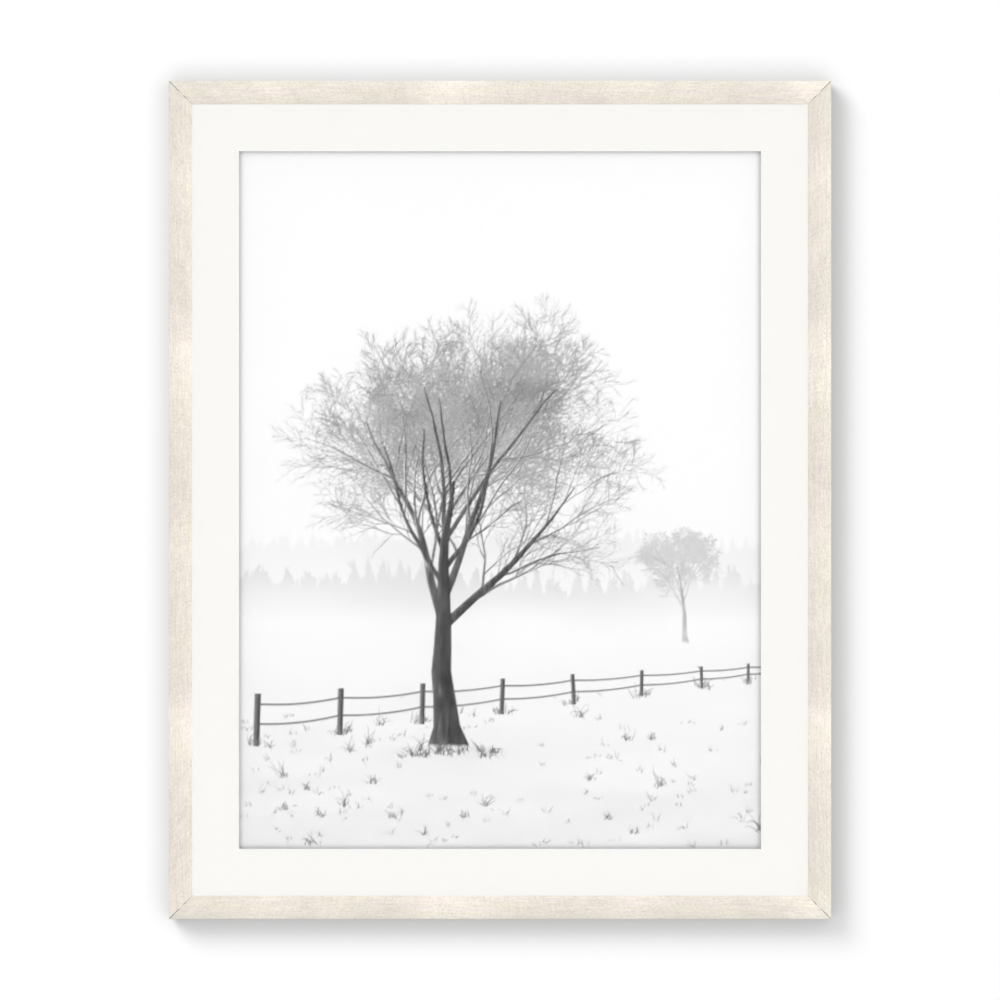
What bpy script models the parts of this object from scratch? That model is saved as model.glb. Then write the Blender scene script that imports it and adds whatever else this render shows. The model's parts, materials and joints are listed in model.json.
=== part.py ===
"""A framed print for the wall: a mitred wooden frame, clear glazing, a raised mat with a
bevelled window, the print on its backing board, a paper dust cover and hanging hardware.

The picture faces -Y, with +X to its right as seen from the front and +Z up. The origin is
the middle of the picture in the plane of the wall, which its bumpers rest on, so the whole
part lies in front of y = 0. Sizes are in metres.
"""

import math

import bmesh
import bpy
from mathutils import Vector

# Driving sizes: the picture seen in the mat's window, and the borders round it.
IMAGE_WIDTH = 0.4572
IMAGE_HEIGHT = 0.6112
MAT_MARGIN = 0.0410
FACE_WIDTH = 0.0204
RAIL_DEPTH = 0.0280

# Two pieces that touch keep this much air between them.
GAP = 0.0003

# The moulding's section.
LIP_THICKNESS = 0.0025
REBATE_WIDTH = 0.0060
ARRIS_RADIUS = 0.0006
SIGHT_RADIUS = 0.0004
BACK_CHAMFER = 0.0008
CROWN_RISE = 0.0003
ARRIS_STEPS = 6
SIGHT_STEPS = 4
CROWN_STEPS = 8

# The package behind the lip, from the front to the back.
BOARD_CLEARANCE = 0.0008
GLAZING_THICKNESS = 0.0015
MAT_THICKNESS = 0.0015
SPACER_THICKNESS = 0.0050
SPACER_SETBACK = 0.0120
PRINT_THICKNESS = 0.0005
BACKING_THICKNESS = 0.0050

# The dust cover, trimmed short of the frame's outer sides.
COVER_THICKNESS = 0.0004
COVER_INSET = 0.0030

# Steel points that hold the package in the rebate.
POINT_THICKNESS = 0.0005
POINT_WIDTH = 0.0090
POINT_LENGTH = 0.0160
POINT_TIP = 0.0030
POINT_IN_WOOD = 0.0050
POINTS_A_SIDE = 2

# V-nails that pull the mitres together from the back.
V_NAIL_LEG = 0.0042
V_NAIL_THICKNESS = 0.0004
V_NAIL_DEPTH = 0.0080
V_NAIL_FROM_CORNER = 0.0100

# Sawtooth hangers on the top rail.
HANGER_OFFSET = 0.1450
HANGER_LENGTH = 0.0500
HANGER_HEIGHT = 0.0095
HANGER_THICKNESS = 0.0009
HANGER_RISE = 0.0018
HANGER_FOOT = 0.0085
HANGER_RAMP = 0.0030
TOOTH_PITCH = 0.0025
TOOTH_DEPTH = 0.0015
HANGER_FROM_TOP = 0.0083

# Pan-head screws through the hangers' feet.
SCREW_FROM_END = 0.0042
SHANK_RADIUS = 0.0013
SHANK_LENGTH = 0.0100
SHANK_POINT = 0.0030
HEAD_RADIUS = 0.0027
HEAD_HEIGHT = 0.0016
HEAD_WALL = 0.0006
RECESS_SPAN = 0.0030
RECESS_WIDTH = 0.0007
RECESS_DEPTH = 0.0009
ROUND_STEPS = 24

# Soft bumpers on the bottom corners.
BUMPER_RADIUS = 0.0050
BUMPER_HEIGHT = 0.0030
BUMPER_BRIM = 0.0004
BUMPER_FLAT = 0.0026
BUMPER_FROM_EDGE = 0.0105
BUMPER_STEPS = 6

# Sizes that follow.
SIGHT_WIDTH = IMAGE_WIDTH + 2 * MAT_MARGIN
SIGHT_HEIGHT = IMAGE_HEIGHT + 2 * MAT_MARGIN
HALF_WIDTH = SIGHT_WIDTH / 2 + FACE_WIDTH
HALF_HEIGHT = SIGHT_HEIGHT / 2 + FACE_WIDTH
BOARD_WIDTH = SIGHT_WIDTH + 2 * (REBATE_WIDTH - BOARD_CLEARANCE)
BOARD_HEIGHT = SIGHT_HEIGHT + 2 * (REBATE_WIDTH - BOARD_CLEARANCE)
REBATE_WALL = FACE_WIDTH - REBATE_WIDTH
MITRE_BACKOFF = GAP / math.sqrt(2)

# Depths along Y, worked forward from the wall and then back from the lip.
COVER_BACK = -(GAP + BUMPER_HEIGHT)
COVER_FRONT = COVER_BACK - COVER_THICKNESS
RAIL_BACK = COVER_FRONT - GAP
RAIL_FRONT = RAIL_BACK - RAIL_DEPTH
LIP_BACK = RAIL_FRONT + LIP_THICKNESS
GLAZING_FRONT = LIP_BACK + GAP
MAT_FRONT = GLAZING_FRONT + GLAZING_THICKNESS + GAP
SPACER_FRONT = MAT_FRONT + MAT_THICKNESS + GAP
PRINT_FRONT = SPACER_FRONT + SPACER_THICKNESS + GAP
BACKING_FRONT = PRINT_FRONT + PRINT_THICKNESS + GAP
POINT_FRONT = BACKING_FRONT + BACKING_THICKNESS + GAP
HANGER_FRONT = COVER_BACK + GAP
HEAD_FRONT = HANGER_FRONT + HANGER_THICKNESS + GAP


def clear_scene():
    """Removes whatever the file holds."""
    for found in list(bpy.data.objects):
        bpy.data.objects.remove(found, do_unlink=True)


def finish(name, colour, roughness, metallic=0.0, alpha=1.0):
    """A plain Principled material."""
    made = bpy.data.materials.new(name)
    made.use_nodes = True
    shader = made.node_tree.nodes["Principled BSDF"]
    shader.inputs["Base Color"].default_value = (*colour, 1.0)
    shader.inputs["Roughness"].default_value = roughness
    shader.inputs["Metallic"].default_value = metallic
    shader.inputs["Alpha"].default_value = alpha
    return made


def add_object(name, shape, material=None, place=(0.0, 0.0, 0.0), turn=0.0):
    """Turns a bmesh into a named object whose faces all point out, put in its place.

    Turn is its turn about Y, in degrees.
    """
    bmesh.ops.recalc_face_normals(shape, faces=shape.faces)
    mesh = bpy.data.meshes.new(name)
    shape.to_mesh(mesh)
    shape.free()
    mesh.shade_smooth()
    mesh.set_sharp_from_angle(angle=math.radians(30))
    if material is not None:
        mesh.materials.append(material)
    made = bpy.data.objects.new(name, mesh)
    made.location = place
    made.rotation_euler = (0.0, math.radians(turn), 0.0)
    bpy.context.scene.collection.objects.link(made)
    return made


def prism(outline, front, back):
    """A bmesh of an outline of (x, z) points, carried from front to back along Y."""
    shape = bmesh.new()
    ring = [shape.verts.new((x, front, z)) for x, z in outline]
    face = shape.faces.new(ring)
    grown = bmesh.ops.extrude_face_region(shape, geom=[face])
    moved = [item for item in grown["geom"] if isinstance(item, bmesh.types.BMVert)]
    bmesh.ops.translate(shape, verts=moved, vec=(0.0, back - front, 0.0))
    return shape


def rectangle(width, height, x=0.0, z=0.0):
    """The corners of a rectangle round (x, z)."""
    corners = ((-1, -1), (1, -1), (1, 1), (-1, 1))
    return [(x + i * width / 2, z + k * height / 2) for i, k in corners]


def turned(profile, steps):
    """A bmesh of a profile of (radius, y) points, turned round the Y axis.

    The profile starts and ends on the axis.
    """
    shape = bmesh.new()
    line = [shape.verts.new((radius, y, 0.0)) for radius, y in profile]
    edges = [shape.edges.new(pair) for pair in zip(line, line[1:])]
    bmesh.ops.spin(
        shape,
        geom=line + edges,
        cent=(0.0, 0.0, 0.0),
        axis=(0.0, 1.0, 0.0),
        angle=2 * math.pi,
        steps=steps,
        use_merge=True,
    )
    bmesh.ops.remove_doubles(shape, verts=shape.verts, dist=1e-6)
    return shape


def arc(centre, radius, start, end, steps):
    """Points of an arc in the section's plane, from one angle to the other, in degrees."""
    angles = [math.radians(start + (end - start) * i / steps) for i in range(steps + 1)]
    return [(centre[0] + radius * math.cos(a), centre[1] + radius * math.sin(a)) for a in angles]


def cut(target, cutters):
    """Cuts the cutters out of the target with one Boolean, and keeps them out of the build."""
    group = bpy.data.collections.new(target.name + "_cutters")
    for cutter in cutters:
        cutter.hide_render = True
        cutter.display_type = "WIRE"
        group.objects.link(cutter)
    modifier = target.modifiers.new("cut", "BOOLEAN")
    modifier.operation = "DIFFERENCE"
    modifier.operand_type = "COLLECTION"
    modifier.collection = group
    modifier.solver = "EXACT"


def rail_section():
    """The moulding's section as (across, y) points.

    Across runs from the frame's outer side, 0, to its sight edge. The outline starts at the
    back of the outer side and goes round by the rounded arris, the slightly crowned face, the
    sight edge, the lip's back and the rebate.
    """
    front_edge = RAIL_FRONT + CROWN_RISE
    arris = arc((ARRIS_RADIUS, front_edge + ARRIS_RADIUS), ARRIS_RADIUS, 180, 270, ARRIS_STEPS)
    sight_centre = (FACE_WIDTH - SIGHT_RADIUS, front_edge + SIGHT_RADIUS)
    sight = arc(sight_centre, SIGHT_RADIUS, 270, 360, SIGHT_STEPS)
    span = FACE_WIDTH - SIGHT_RADIUS - ARRIS_RADIUS
    shares = [i / CROWN_STEPS for i in range(1, CROWN_STEPS)]
    crown = [(ARRIS_RADIUS + span * s, front_edge - CROWN_RISE * 4 * s * (1 - s)) for s in shares]
    back = [
        (FACE_WIDTH, LIP_BACK),
        (REBATE_WALL, LIP_BACK),
        (REBATE_WALL, RAIL_BACK),
        (BACK_CHAMFER, RAIL_BACK),
        (0.0, RAIL_BACK - BACK_CHAMFER),
    ]
    return arris + crown + sight + back


def side_turn(side):
    """The turn about Y that takes a rail from the top of the frame to its own side."""
    return {"top": 0.0, "right": 90.0, "bottom": 180.0, "left": 270.0}[side]


def half_length(side):
    """Half of a rail's outer length."""
    return HALF_WIDTH if side in ("top", "bottom") else HALF_HEIGHT


def outer_side(side):
    """How far a rail's outer side lies from the middle of the picture."""
    return HALF_HEIGHT if side in ("top", "bottom") else HALF_WIDTH


def rail(side, material):
    """One rail: the section carried along it, cut at 45 degrees at both ends."""
    section = rail_section()
    shape = bmesh.new()
    rings = []
    for end in (-1, 1):
        reach = half_length(side) - MITRE_BACKOFF
        points = [(end * (reach - a), y, outer_side(side) - a) for a, y in section]
        rings.append([shape.verts.new(point) for point in points])
    count = len(section)
    for i in range(count):
        j = (i + 1) % count
        shape.faces.new((rings[0][i], rings[0][j], rings[1][j], rings[1][i]))
    for ring in rings:
        shape.faces.new(ring)
    return add_object("rail_" + side, shape, material, turn=side_turn(side))


def v_outline(thickness, leg):
    """A V of two legs at right angles, its point at the origin and opening towards +X."""
    half = thickness / 2
    along = Vector((1, 1)).normalized()
    out = Vector((-1, 1)).normalized()
    tip = along * leg
    upper = [tip - out * half, tip + out * half]
    lower = [Vector((p.x, -p.y)) for p in reversed(upper)]
    corner = math.sqrt(2) * half
    return [Vector((-corner, 0)), *lower, Vector((corner, 0)), *upper]


def v_nail(name, corner, material=None, grow=0.0):
    """A V-nail on the mitre of one corner, or its slot when grow is above zero.

    Corner is the signs of x and z. The V straddles the mitre and opens towards the outside.
    """
    sx, sz = corner
    outline = v_outline(V_NAIL_THICKNESS + 2 * grow, V_NAIL_LEG + grow)
    back = RAIL_BACK + GAP if grow else RAIL_BACK - GAP
    front = RAIL_BACK - GAP - V_NAIL_DEPTH - grow
    shape = prism([(p.x, p.y) for p in outline], front, back)
    x = sx * (HALF_WIDTH - V_NAIL_FROM_CORNER)
    z = sz * (HALF_HEIGHT - V_NAIL_FROM_CORNER)
    turn = -math.degrees(math.atan2(sz, sx))
    return add_object(name, shape, material, (x, 0.0, z), turn)


def point_places(side):
    """The places of the steel points along a rail, from its middle."""
    length = 2 * (half_length(side) - FACE_WIDTH)
    return [length * ((i + 0.5) / POINTS_A_SIDE - 0.5) for i in range(POINTS_A_SIDE)]


def steel_point(name, side, along, material=None, grow=0.0):
    """A steel point that lies on the backing board with its tip in the rail.

    It is the point's slot when grow is above zero.
    """
    half = POINT_WIDTH / 2 + grow
    wall = outer_side(side) - REBATE_WALL
    tip = wall + POINT_IN_WOOD + grow
    tail = wall + POINT_IN_WOOD - POINT_LENGTH
    outline = [(-half, tail), (half, tail), (half, tip - POINT_TIP), (0, tip), (-half, tip - POINT_TIP)]
    outline = [(along + x, z) for x, z in outline]
    shape = prism(outline, POINT_FRONT - grow, POINT_FRONT + POINT_THICKNESS + grow)
    return add_object(name, shape, material, turn=side_turn(side))


def hanger_height(x):
    """How far the hanger's plate stands off the frame at x from its middle."""
    flat = HANGER_LENGTH / 2 - HANGER_FOOT
    share = (flat - abs(x)) / HANGER_RAMP
    return HANGER_RISE * min(max(share, 0.0), 1.0)


def hanger_columns():
    """The hanger's columns as (x, depth of the notch below the lower edge)."""
    end = HANGER_LENGTH / 2
    flat = end - HANGER_FOOT
    raised = flat - HANGER_RAMP
    teeth = int(2 * raised / TOOTH_PITCH)
    start = -teeth * TOOTH_PITCH / 2
    notches = [(start + i * TOOTH_PITCH / 2, TOOTH_DEPTH * (i % 2)) for i in range(2 * teeth + 1)]
    left = [(-end, 0.0), (-flat, 0.0), (-raised, 0.0)]
    right = [(-x, notch) for x, notch in reversed(left)]
    return left + notches + right


def hanger(name, x, z, material):
    """A sawtooth hanger: flat feet, a raised middle and teeth along its lower edge."""
    shape = bmesh.new()
    rows = []
    for column, notch in hanger_columns():
        y = HANGER_FRONT + hanger_height(column)
        low = notch - HANGER_HEIGHT / 2
        high = HANGER_HEIGHT / 2
        corners = ((low, y), (high, y), (high, y + HANGER_THICKNESS), (low, y + HANGER_THICKNESS))
        rows.append([shape.verts.new((column, depth, up)) for up, depth in corners])
    for before, after in zip(rows, rows[1:]):
        for i in range(4):
            j = (i + 1) % 4
            shape.faces.new((before[i], before[j], after[j], after[i]))
    shape.faces.new(rows[0])
    shape.faces.new(rows[-1])
    return add_object(name, shape, material, (x, 0.0, z))


def screw_places():
    """The (x, z) of every hanger screw."""
    z = HALF_HEIGHT - HANGER_FROM_TOP
    reach = HANGER_LENGTH / 2 - SCREW_FROM_END
    return [(side * HANGER_OFFSET + end * reach, z) for side in (-1, 1) for end in (-1, 1)]


def screw(name, x, z, material):
    """A pan-head screw with a cross recess, its shank pointing into the frame."""
    head_back = HEAD_FRONT + HEAD_HEIGHT
    wall = HEAD_FRONT + HEAD_WALL
    dome = [
        (HEAD_RADIUS * math.cos(a), wall + (head_back - wall) * math.sin(a))
        for a in (math.radians(90 * i / 4) for i in range(5))
    ]
    tip = HEAD_FRONT - SHANK_LENGTH
    profile = [(0.0, tip), (SHANK_RADIUS, tip + SHANK_POINT), (SHANK_RADIUS, HEAD_FRONT)]
    profile += [(HEAD_RADIUS, HEAD_FRONT), *dome[:-1], (0.0, head_back)]
    made = add_object(name, turned(profile, ROUND_STEPS), material, (x, 0.0, z))
    a, b = RECESS_WIDTH / 2, RECESS_SPAN / 2
    arm = [(a, a), (a, b), (-a, b)]
    cross = arm + [(-q, p) for p, q in arm]
    cross += [(-p, -q) for p, q in cross]
    recess = prism(cross, head_back - RECESS_DEPTH, head_back + GAP)
    cut(made, [add_object(name + "_recess", recess, place=(x, 0.0, z))])


def drill(name, x, z, radius, front, back):
    """A round cutter along Y."""
    steps = [2 * math.pi * i / ROUND_STEPS for i in range(ROUND_STEPS)]
    outline = [(radius * math.cos(a), radius * math.sin(a)) for a in steps]
    return add_object(name, prism(outline, front, back), place=(x, 0.0, z))


def window_board(name, sections, material):
    """A board with a window, from four (width, height, y) rectangles taken in turn:
    its outer front edge, the window's front edge, the window's back edge, its outer back edge.
    """
    shape = bmesh.new()
    rings = [[shape.verts.new((x, y, z)) for x, z in rectangle(w, h)] for w, h, y in sections]
    for ring, after in zip(rings, rings[1:] + rings[:1]):
        for i in range(4):
            j = (i + 1) % 4
            shape.faces.new((ring[i], ring[j], after[j], after[i]))
    return add_object(name, shape, material)


def mat_board(material):
    """The mat: a board whose window is cut at 45 degrees, wider at the front."""
    back = MAT_FRONT + MAT_THICKNESS
    sections = [
        (BOARD_WIDTH, BOARD_HEIGHT, MAT_FRONT),
        (IMAGE_WIDTH + 2 * MAT_THICKNESS, IMAGE_HEIGHT + 2 * MAT_THICKNESS, MAT_FRONT),
        (IMAGE_WIDTH, IMAGE_HEIGHT, back),
        (BOARD_WIDTH, BOARD_HEIGHT, back),
    ]
    return window_board("mat_board", sections, material)


def mat_spacer(material):
    """The foam board that lifts the mat off the print, its window set back out of sight."""
    back = SPACER_FRONT + SPACER_THICKNESS
    width = IMAGE_WIDTH + 2 * SPACER_SETBACK
    height = IMAGE_HEIGHT + 2 * SPACER_SETBACK
    sections = [
        (BOARD_WIDTH, BOARD_HEIGHT, SPACER_FRONT),
        (width, height, SPACER_FRONT),
        (width, height, back),
        (BOARD_WIDTH, BOARD_HEIGHT, back),
    ]
    return window_board("mat_spacer", sections, material)


def sheets():
    """The flat sheets of the package."""
    board = rectangle(BOARD_WIDTH, BOARD_HEIGHT)
    clear = finish("clear_acrylic", (0.95, 0.97, 0.97), 0.05, alpha=0.08)
    paper = finish("print_paper", (0.90, 0.90, 0.90), 0.85)
    foam = finish("foam_board", (0.86, 0.86, 0.84), 0.8)
    glazing = prism(board, GLAZING_FRONT, GLAZING_FRONT + GLAZING_THICKNESS)
    add_object("glazing", glazing, clear)
    mat_board(finish("mat_paper", (0.87, 0.86, 0.83), 0.9))
    mat_spacer(foam)
    add_object("print_sheet", prism(board, PRINT_FRONT, PRINT_FRONT + PRINT_THICKNESS), paper)
    backing = prism(board, BACKING_FRONT, BACKING_FRONT + BACKING_THICKNESS)
    add_object("backing_board", backing, foam)


def frame_rails():
    """The four rails, slotted and drilled for what is driven into them, and the V-nails."""
    wood = finish("whitewashed_wood", (0.77, 0.71, 0.63), 0.6)
    steel = finish("point_steel", (0.55, 0.55, 0.56), 0.35, 1.0)
    corners = [(sx, sz) for sx in (-1, 1) for sz in (-1, 1)]
    for side in ("top", "right", "bottom", "left"):
        made = rail(side, wood)
        cutters = []
        for i, along in enumerate(point_places(side), 1):
            name = f"point_{side}_{i}"
            steel_point(name, side, along, steel)
            cutters.append(steel_point(name + "_slot", side, along, grow=GAP))
        for i, corner in enumerate(corners, 1):
            if touches(side, corner):
                cutters.append(v_nail(f"v_slot_{side}_{i}", corner, grow=GAP))
        if side == "top":
            pilot_front = HEAD_FRONT - SHANK_LENGTH - GAP
            for i, (x, z) in enumerate(screw_places(), 1):
                radius = SHANK_RADIUS + GAP
                cutters.append(drill(f"pilot_{i}", x, z, radius, pilot_front, RAIL_BACK + GAP))
        cut(made, cutters)
    for i, corner in enumerate(corners, 1):
        v_nail(f"v_nail_{i}", corner, steel)


def touches(side, corner):
    """Whether a rail runs into that corner."""
    sx, sz = corner
    return {"top": sz > 0, "bottom": sz < 0, "left": sx < 0, "right": sx > 0}[side]


def dust_cover():
    """The kraft paper over the back, with a hole for each hanger screw."""
    outline = rectangle(2 * (HALF_WIDTH - COVER_INSET), 2 * (HALF_HEIGHT - COVER_INSET))
    kraft = finish("kraft_paper", (0.45, 0.31, 0.19), 0.85)
    made = add_object("dust_cover", prism(outline, COVER_FRONT, COVER_BACK), kraft)
    radius = SHANK_RADIUS + GAP
    holes = [
        drill(f"cover_hole_{i}", x, z, radius, COVER_FRONT - GAP, COVER_BACK + GAP)
        for i, (x, z) in enumerate(screw_places(), 1)
    ]
    cut(made, holes)


def hangers():
    """Two sawtooth hangers on the top rail, each on two screws."""
    zinc = finish("zinc_plate", (0.62, 0.62, 0.60), 0.35, 1.0)
    screws = screw_places()
    back = HANGER_FRONT + HANGER_THICKNESS + GAP
    for i, (side, name) in enumerate(((-1, "left"), (1, "right"))):
        z = HALF_HEIGHT - HANGER_FROM_TOP
        plate = hanger("hanger_" + name, side * HANGER_OFFSET, z, zinc)
        holes = [
            drill(f"foot_hole_{name}_{j}", x, up, SHANK_RADIUS + GAP, HANGER_FRONT - GAP, back)
            for j, (x, up) in enumerate(screws[2 * i : 2 * i + 2], 1)
        ]
        cut(plate, holes)
    for i, (x, z) in enumerate(screws, 1):
        screw(f"hanger_screw_{i}", x, z, zinc)


def bumpers():
    """Two soft domes that keep the bottom of the frame off the wall."""
    soft = finish("bumper_rubber", (0.75, 0.75, 0.73), 0.5)
    foot = COVER_BACK + GAP
    brim = foot + BUMPER_BRIM
    angles = [math.radians(90 * i / BUMPER_STEPS) for i in range(BUMPER_STEPS + 1)]
    side = [
        (BUMPER_FLAT + (BUMPER_RADIUS - BUMPER_FLAT) * math.cos(a), brim * (1 - math.sin(a)))
        for a in angles
    ]
    profile = [(0.0, foot), (BUMPER_RADIUS, foot), *side, (0.0, 0.0)]
    for sign, name in ((-1, "left"), (1, "right")):
        x = sign * (HALF_WIDTH - BUMPER_FROM_EDGE)
        z = -(HALF_HEIGHT - BUMPER_FROM_EDGE)
        add_object("bumper_" + name, turned(profile, ROUND_STEPS), soft, (x, 0.0, z))


def main():
    clear_scene()
    frame_rails()
    sheets()
    dust_cover()
    hangers()
    bumpers()


main()
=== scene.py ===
"""A framed winter print on a wall: the finished pieces, their materials and the studio.

Every piece is worked out from the sizes of the packed model, in metres, with the picture
facing -Y, +Z up and the wall at y = 0.
"""

import json
import math

import bmesh
import bpy
import numpy as np
from bpy.props import FloatProperty, FloatVectorProperty, PointerProperty
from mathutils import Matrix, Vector

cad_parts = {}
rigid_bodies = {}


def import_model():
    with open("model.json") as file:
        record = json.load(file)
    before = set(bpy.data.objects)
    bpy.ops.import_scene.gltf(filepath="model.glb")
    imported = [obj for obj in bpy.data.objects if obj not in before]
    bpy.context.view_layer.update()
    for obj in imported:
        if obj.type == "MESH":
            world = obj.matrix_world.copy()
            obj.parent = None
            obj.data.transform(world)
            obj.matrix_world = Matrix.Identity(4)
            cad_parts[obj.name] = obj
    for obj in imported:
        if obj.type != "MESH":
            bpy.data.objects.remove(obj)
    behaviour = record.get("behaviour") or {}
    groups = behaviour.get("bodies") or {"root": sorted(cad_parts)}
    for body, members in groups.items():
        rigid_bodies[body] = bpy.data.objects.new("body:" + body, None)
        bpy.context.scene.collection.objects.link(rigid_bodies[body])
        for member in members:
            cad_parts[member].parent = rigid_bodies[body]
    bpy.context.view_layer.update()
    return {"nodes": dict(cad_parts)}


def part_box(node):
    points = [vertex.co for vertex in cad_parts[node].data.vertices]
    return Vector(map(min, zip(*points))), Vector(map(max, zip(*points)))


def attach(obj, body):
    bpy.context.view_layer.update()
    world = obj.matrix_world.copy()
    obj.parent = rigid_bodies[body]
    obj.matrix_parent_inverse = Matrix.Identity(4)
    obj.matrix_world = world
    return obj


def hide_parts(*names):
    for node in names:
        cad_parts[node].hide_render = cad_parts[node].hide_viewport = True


bl_info = {
    "name": "Framed winter print",
    "version": (1, 0, 0),
    "blender": (4, 5, 0),
    "location": "View3D > Sidebar > Framed print",
    "description": "Finishes a framed print: moulding, mat, picture, backing and studio",
    "category": "Add Mesh",
}

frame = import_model()

# Sizes read from the packed model.
HALF_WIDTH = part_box("rail_right")[1][0]
HALF_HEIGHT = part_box("rail_top")[1][2]
FACE_WIDTH = HALF_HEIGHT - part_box("rail_top")[0][2]
RAIL_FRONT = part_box("rail_top")[0][1]
RAIL_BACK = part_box("rail_top")[1][1]
GLASS_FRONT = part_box("glazing")[0][1]
MAT_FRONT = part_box("mat_board")[0][1]
MAT_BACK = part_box("mat_board")[1][1]
BOARD_HALF_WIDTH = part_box("mat_board")[1][0]
BOARD_HALF_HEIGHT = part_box("mat_board")[1][2]
PRINT_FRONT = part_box("print_sheet")[0][1]
PRINT_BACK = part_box("print_sheet")[1][1]
COVER_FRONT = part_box("dust_cover")[0][1]
COVER_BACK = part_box("dust_cover")[1][1]

# The moulding's section and the mat's window, as the model has them.
GAP = 0.0003
LIP_BACK = GLASS_FRONT - GAP
REBATE_WALL = HALF_WIDTH - BOARD_HALF_WIDTH - 0.0008
ARRIS_RADIUS = 0.0006
SIGHT_RADIUS = 0.0004
BACK_CHAMFER = 0.0008
CROWN_RISE = 0.0003
MITRE_BACKOFF = GAP / math.sqrt(2)
MAT_MARGIN = 0.0410
DISPLAY_GAMMA = 2.2
IMAGE_WIDTH = 2 * (HALF_WIDTH - FACE_WIDTH - MAT_MARGIN)
IMAGE_HEIGHT = 2 * (HALF_HEIGHT - FACE_WIDTH - MAT_MARGIN)

SIDES = ("top", "right", "bottom", "left")


# ---------------------------------------------------------------- meshes


def mesh_from(name, points, corners, totals):
    """A mesh from its points, the corners of all its faces in a row and each face's count."""
    mesh = bpy.data.meshes.new(name)
    mesh.vertices.add(len(points))
    mesh.vertices.foreach_set("co", np.asarray(points, np.float32).ravel())
    mesh.loops.add(len(corners))
    mesh.loops.foreach_set("vertex_index", np.asarray(corners, np.int32))
    starts = np.concatenate([[0], np.cumsum(totals)[:-1]]).astype(np.int32)
    mesh.polygons.add(len(totals))
    mesh.polygons.foreach_set("loop_start", starts)
    mesh.update(calc_edges=True)
    mesh.validate()
    return mesh


def add_piece(name, mesh, replaced, material, sharp_degrees=None):
    """Adds a finished piece that rides on the body and stands for the nodes it replaces.

    The faces of its closed mesh are turned outwards. With an angle it is shaded smooth, and
    the edges sharper than that stay sharp.
    """
    shape = bmesh.new()
    shape.from_mesh(mesh)
    bmesh.ops.recalc_face_normals(shape, faces=shape.faces)
    shape.to_mesh(mesh)
    shape.free()
    if sharp_degrees:
        mesh.shade_smooth()
        mesh.set_sharp_from_angle(angle=math.radians(sharp_degrees))
    mesh.materials.append(material)
    piece = bpy.data.objects.new(name, mesh)
    bpy.context.scene.collection.objects.link(piece)
    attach(piece, "root")
    if replaced:
        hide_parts(*replaced)


def set_values(mesh, name, values):
    """Stores one number per point as an attribute that materials read."""
    layer = mesh.attributes.new(name, "FLOAT", "POINT")
    layer.data.foreach_set("value", np.asarray(values, np.float32).ravel())


def set_map(mesh, name, corners_uv):
    """Stores a UV map from one (u, v) per face corner."""
    layer = mesh.uv_layers.new(name=name, do_init=False)
    layer.data.foreach_set("uv", np.asarray(corners_uv, np.float32).ravel())


def grid_faces(rows, columns, round_columns=False):
    """Corner indices of a grid's quads, as (rows - 1, quads in a row, 4)."""
    low = np.arange(rows - 1)[:, None] * columns
    k = np.arange(columns if round_columns else columns - 1)[None, :]
    after = (k + 1) % columns
    high = low + columns
    return np.stack(np.broadcast_arrays(low + k, low + after, high + after, high + k), -1)


def rim_of(index):
    """The outline of a grid of indices, once round, as a row."""
    return np.concatenate([index[0, :-1], index[:-1, -1], index[-1, :0:-1], index[:0:-1, 0]])


def capped_tube(name, rings):
    """A closed mesh from (rings, points round, 3): quads along it and a face at each end."""
    count, columns = rings.shape[:2]
    quads = grid_faces(count, columns, True).reshape(-1)
    ends = np.concatenate([np.arange(columns), (count - 1) * columns + np.arange(columns)])
    totals = np.concatenate([np.full(len(quads) // 4, 4), [columns, columns]])
    return mesh_from(name, rings.reshape(-1, 3), np.concatenate([quads, ends]), totals)


def lathe(name, profile, centre, steps=48):
    """A closed turned mesh about +Y: each (radius, y) of the profile becomes a ring.

    The profile's ends lie on the axis, where the rings close to a fan.
    """
    turn = 2 * math.pi * np.arange(steps) / steps
    inner = profile[1:-1]
    x = inner[:, :1] * np.cos(turn) + centre[0]
    z = inner[:, :1] * np.sin(turn) + centre[2]
    y = np.repeat(inner[:, 1:], steps, 1) + centre[1]
    rings = np.stack([x, y, z], -1).reshape(-1, 3)
    poles = np.array([[centre[0], centre[1] + profile[i][1], centre[2]] for i in (0, -1)])
    body = grid_faces(len(inner), steps, True).reshape(-1)
    k = np.arange(steps)
    low = np.stack([np.full(steps, len(rings)), (k + 1) % steps, k], -1).ravel()
    last = len(rings) - steps
    high = np.stack([np.full(steps, len(rings) + 1), last + k, last + (k + 1) % steps], -1).ravel()
    totals = np.concatenate([np.full(len(body) // 4, 4), np.full(2 * steps, 3)])
    corners = np.concatenate([body, low, high])
    return mesh_from(name, np.concatenate([rings, poles]), corners, totals)


# ---------------------------------------------------------------- noise


def lattice_noise(rng, x, z, cell_x, cell_z):
    """Smooth noise in -1 to 1: random values on a lattice of the two cell sizes, blended
    between its points by 3t^2 - 2t^3 in both directions."""
    u = (x - x.min()) / cell_x
    v = (z - z.min()) / cell_z
    lattice = rng.uniform(-1, 1, (int(v.max()) + 2, int(u.max()) + 2))
    i = np.floor(u).astype(int)
    j = np.floor(v).astype(int)
    s = (u - i) ** 2 * (3 - 2 * (u - i))
    t = (v - j) ** 2 * (3 - 2 * (v - j))
    low = lattice[j, i] * (1 - s) + lattice[j, i + 1] * s
    high = lattice[j + 1, i] * (1 - s) + lattice[j + 1, i + 1] * s
    return low * (1 - t) + high * t


def fractal_noise(rng, x, z, cell_x, cell_z, octaves):
    """Lattice noise summed over octaves, each half the size and half the height."""
    total = 0
    for k in range(octaves):
        total = total + lattice_noise(rng, x, z, cell_x / 2**k, cell_z / 2**k) / 2**k
    return total / (2 - 0.5 ** (octaves - 1))


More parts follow.
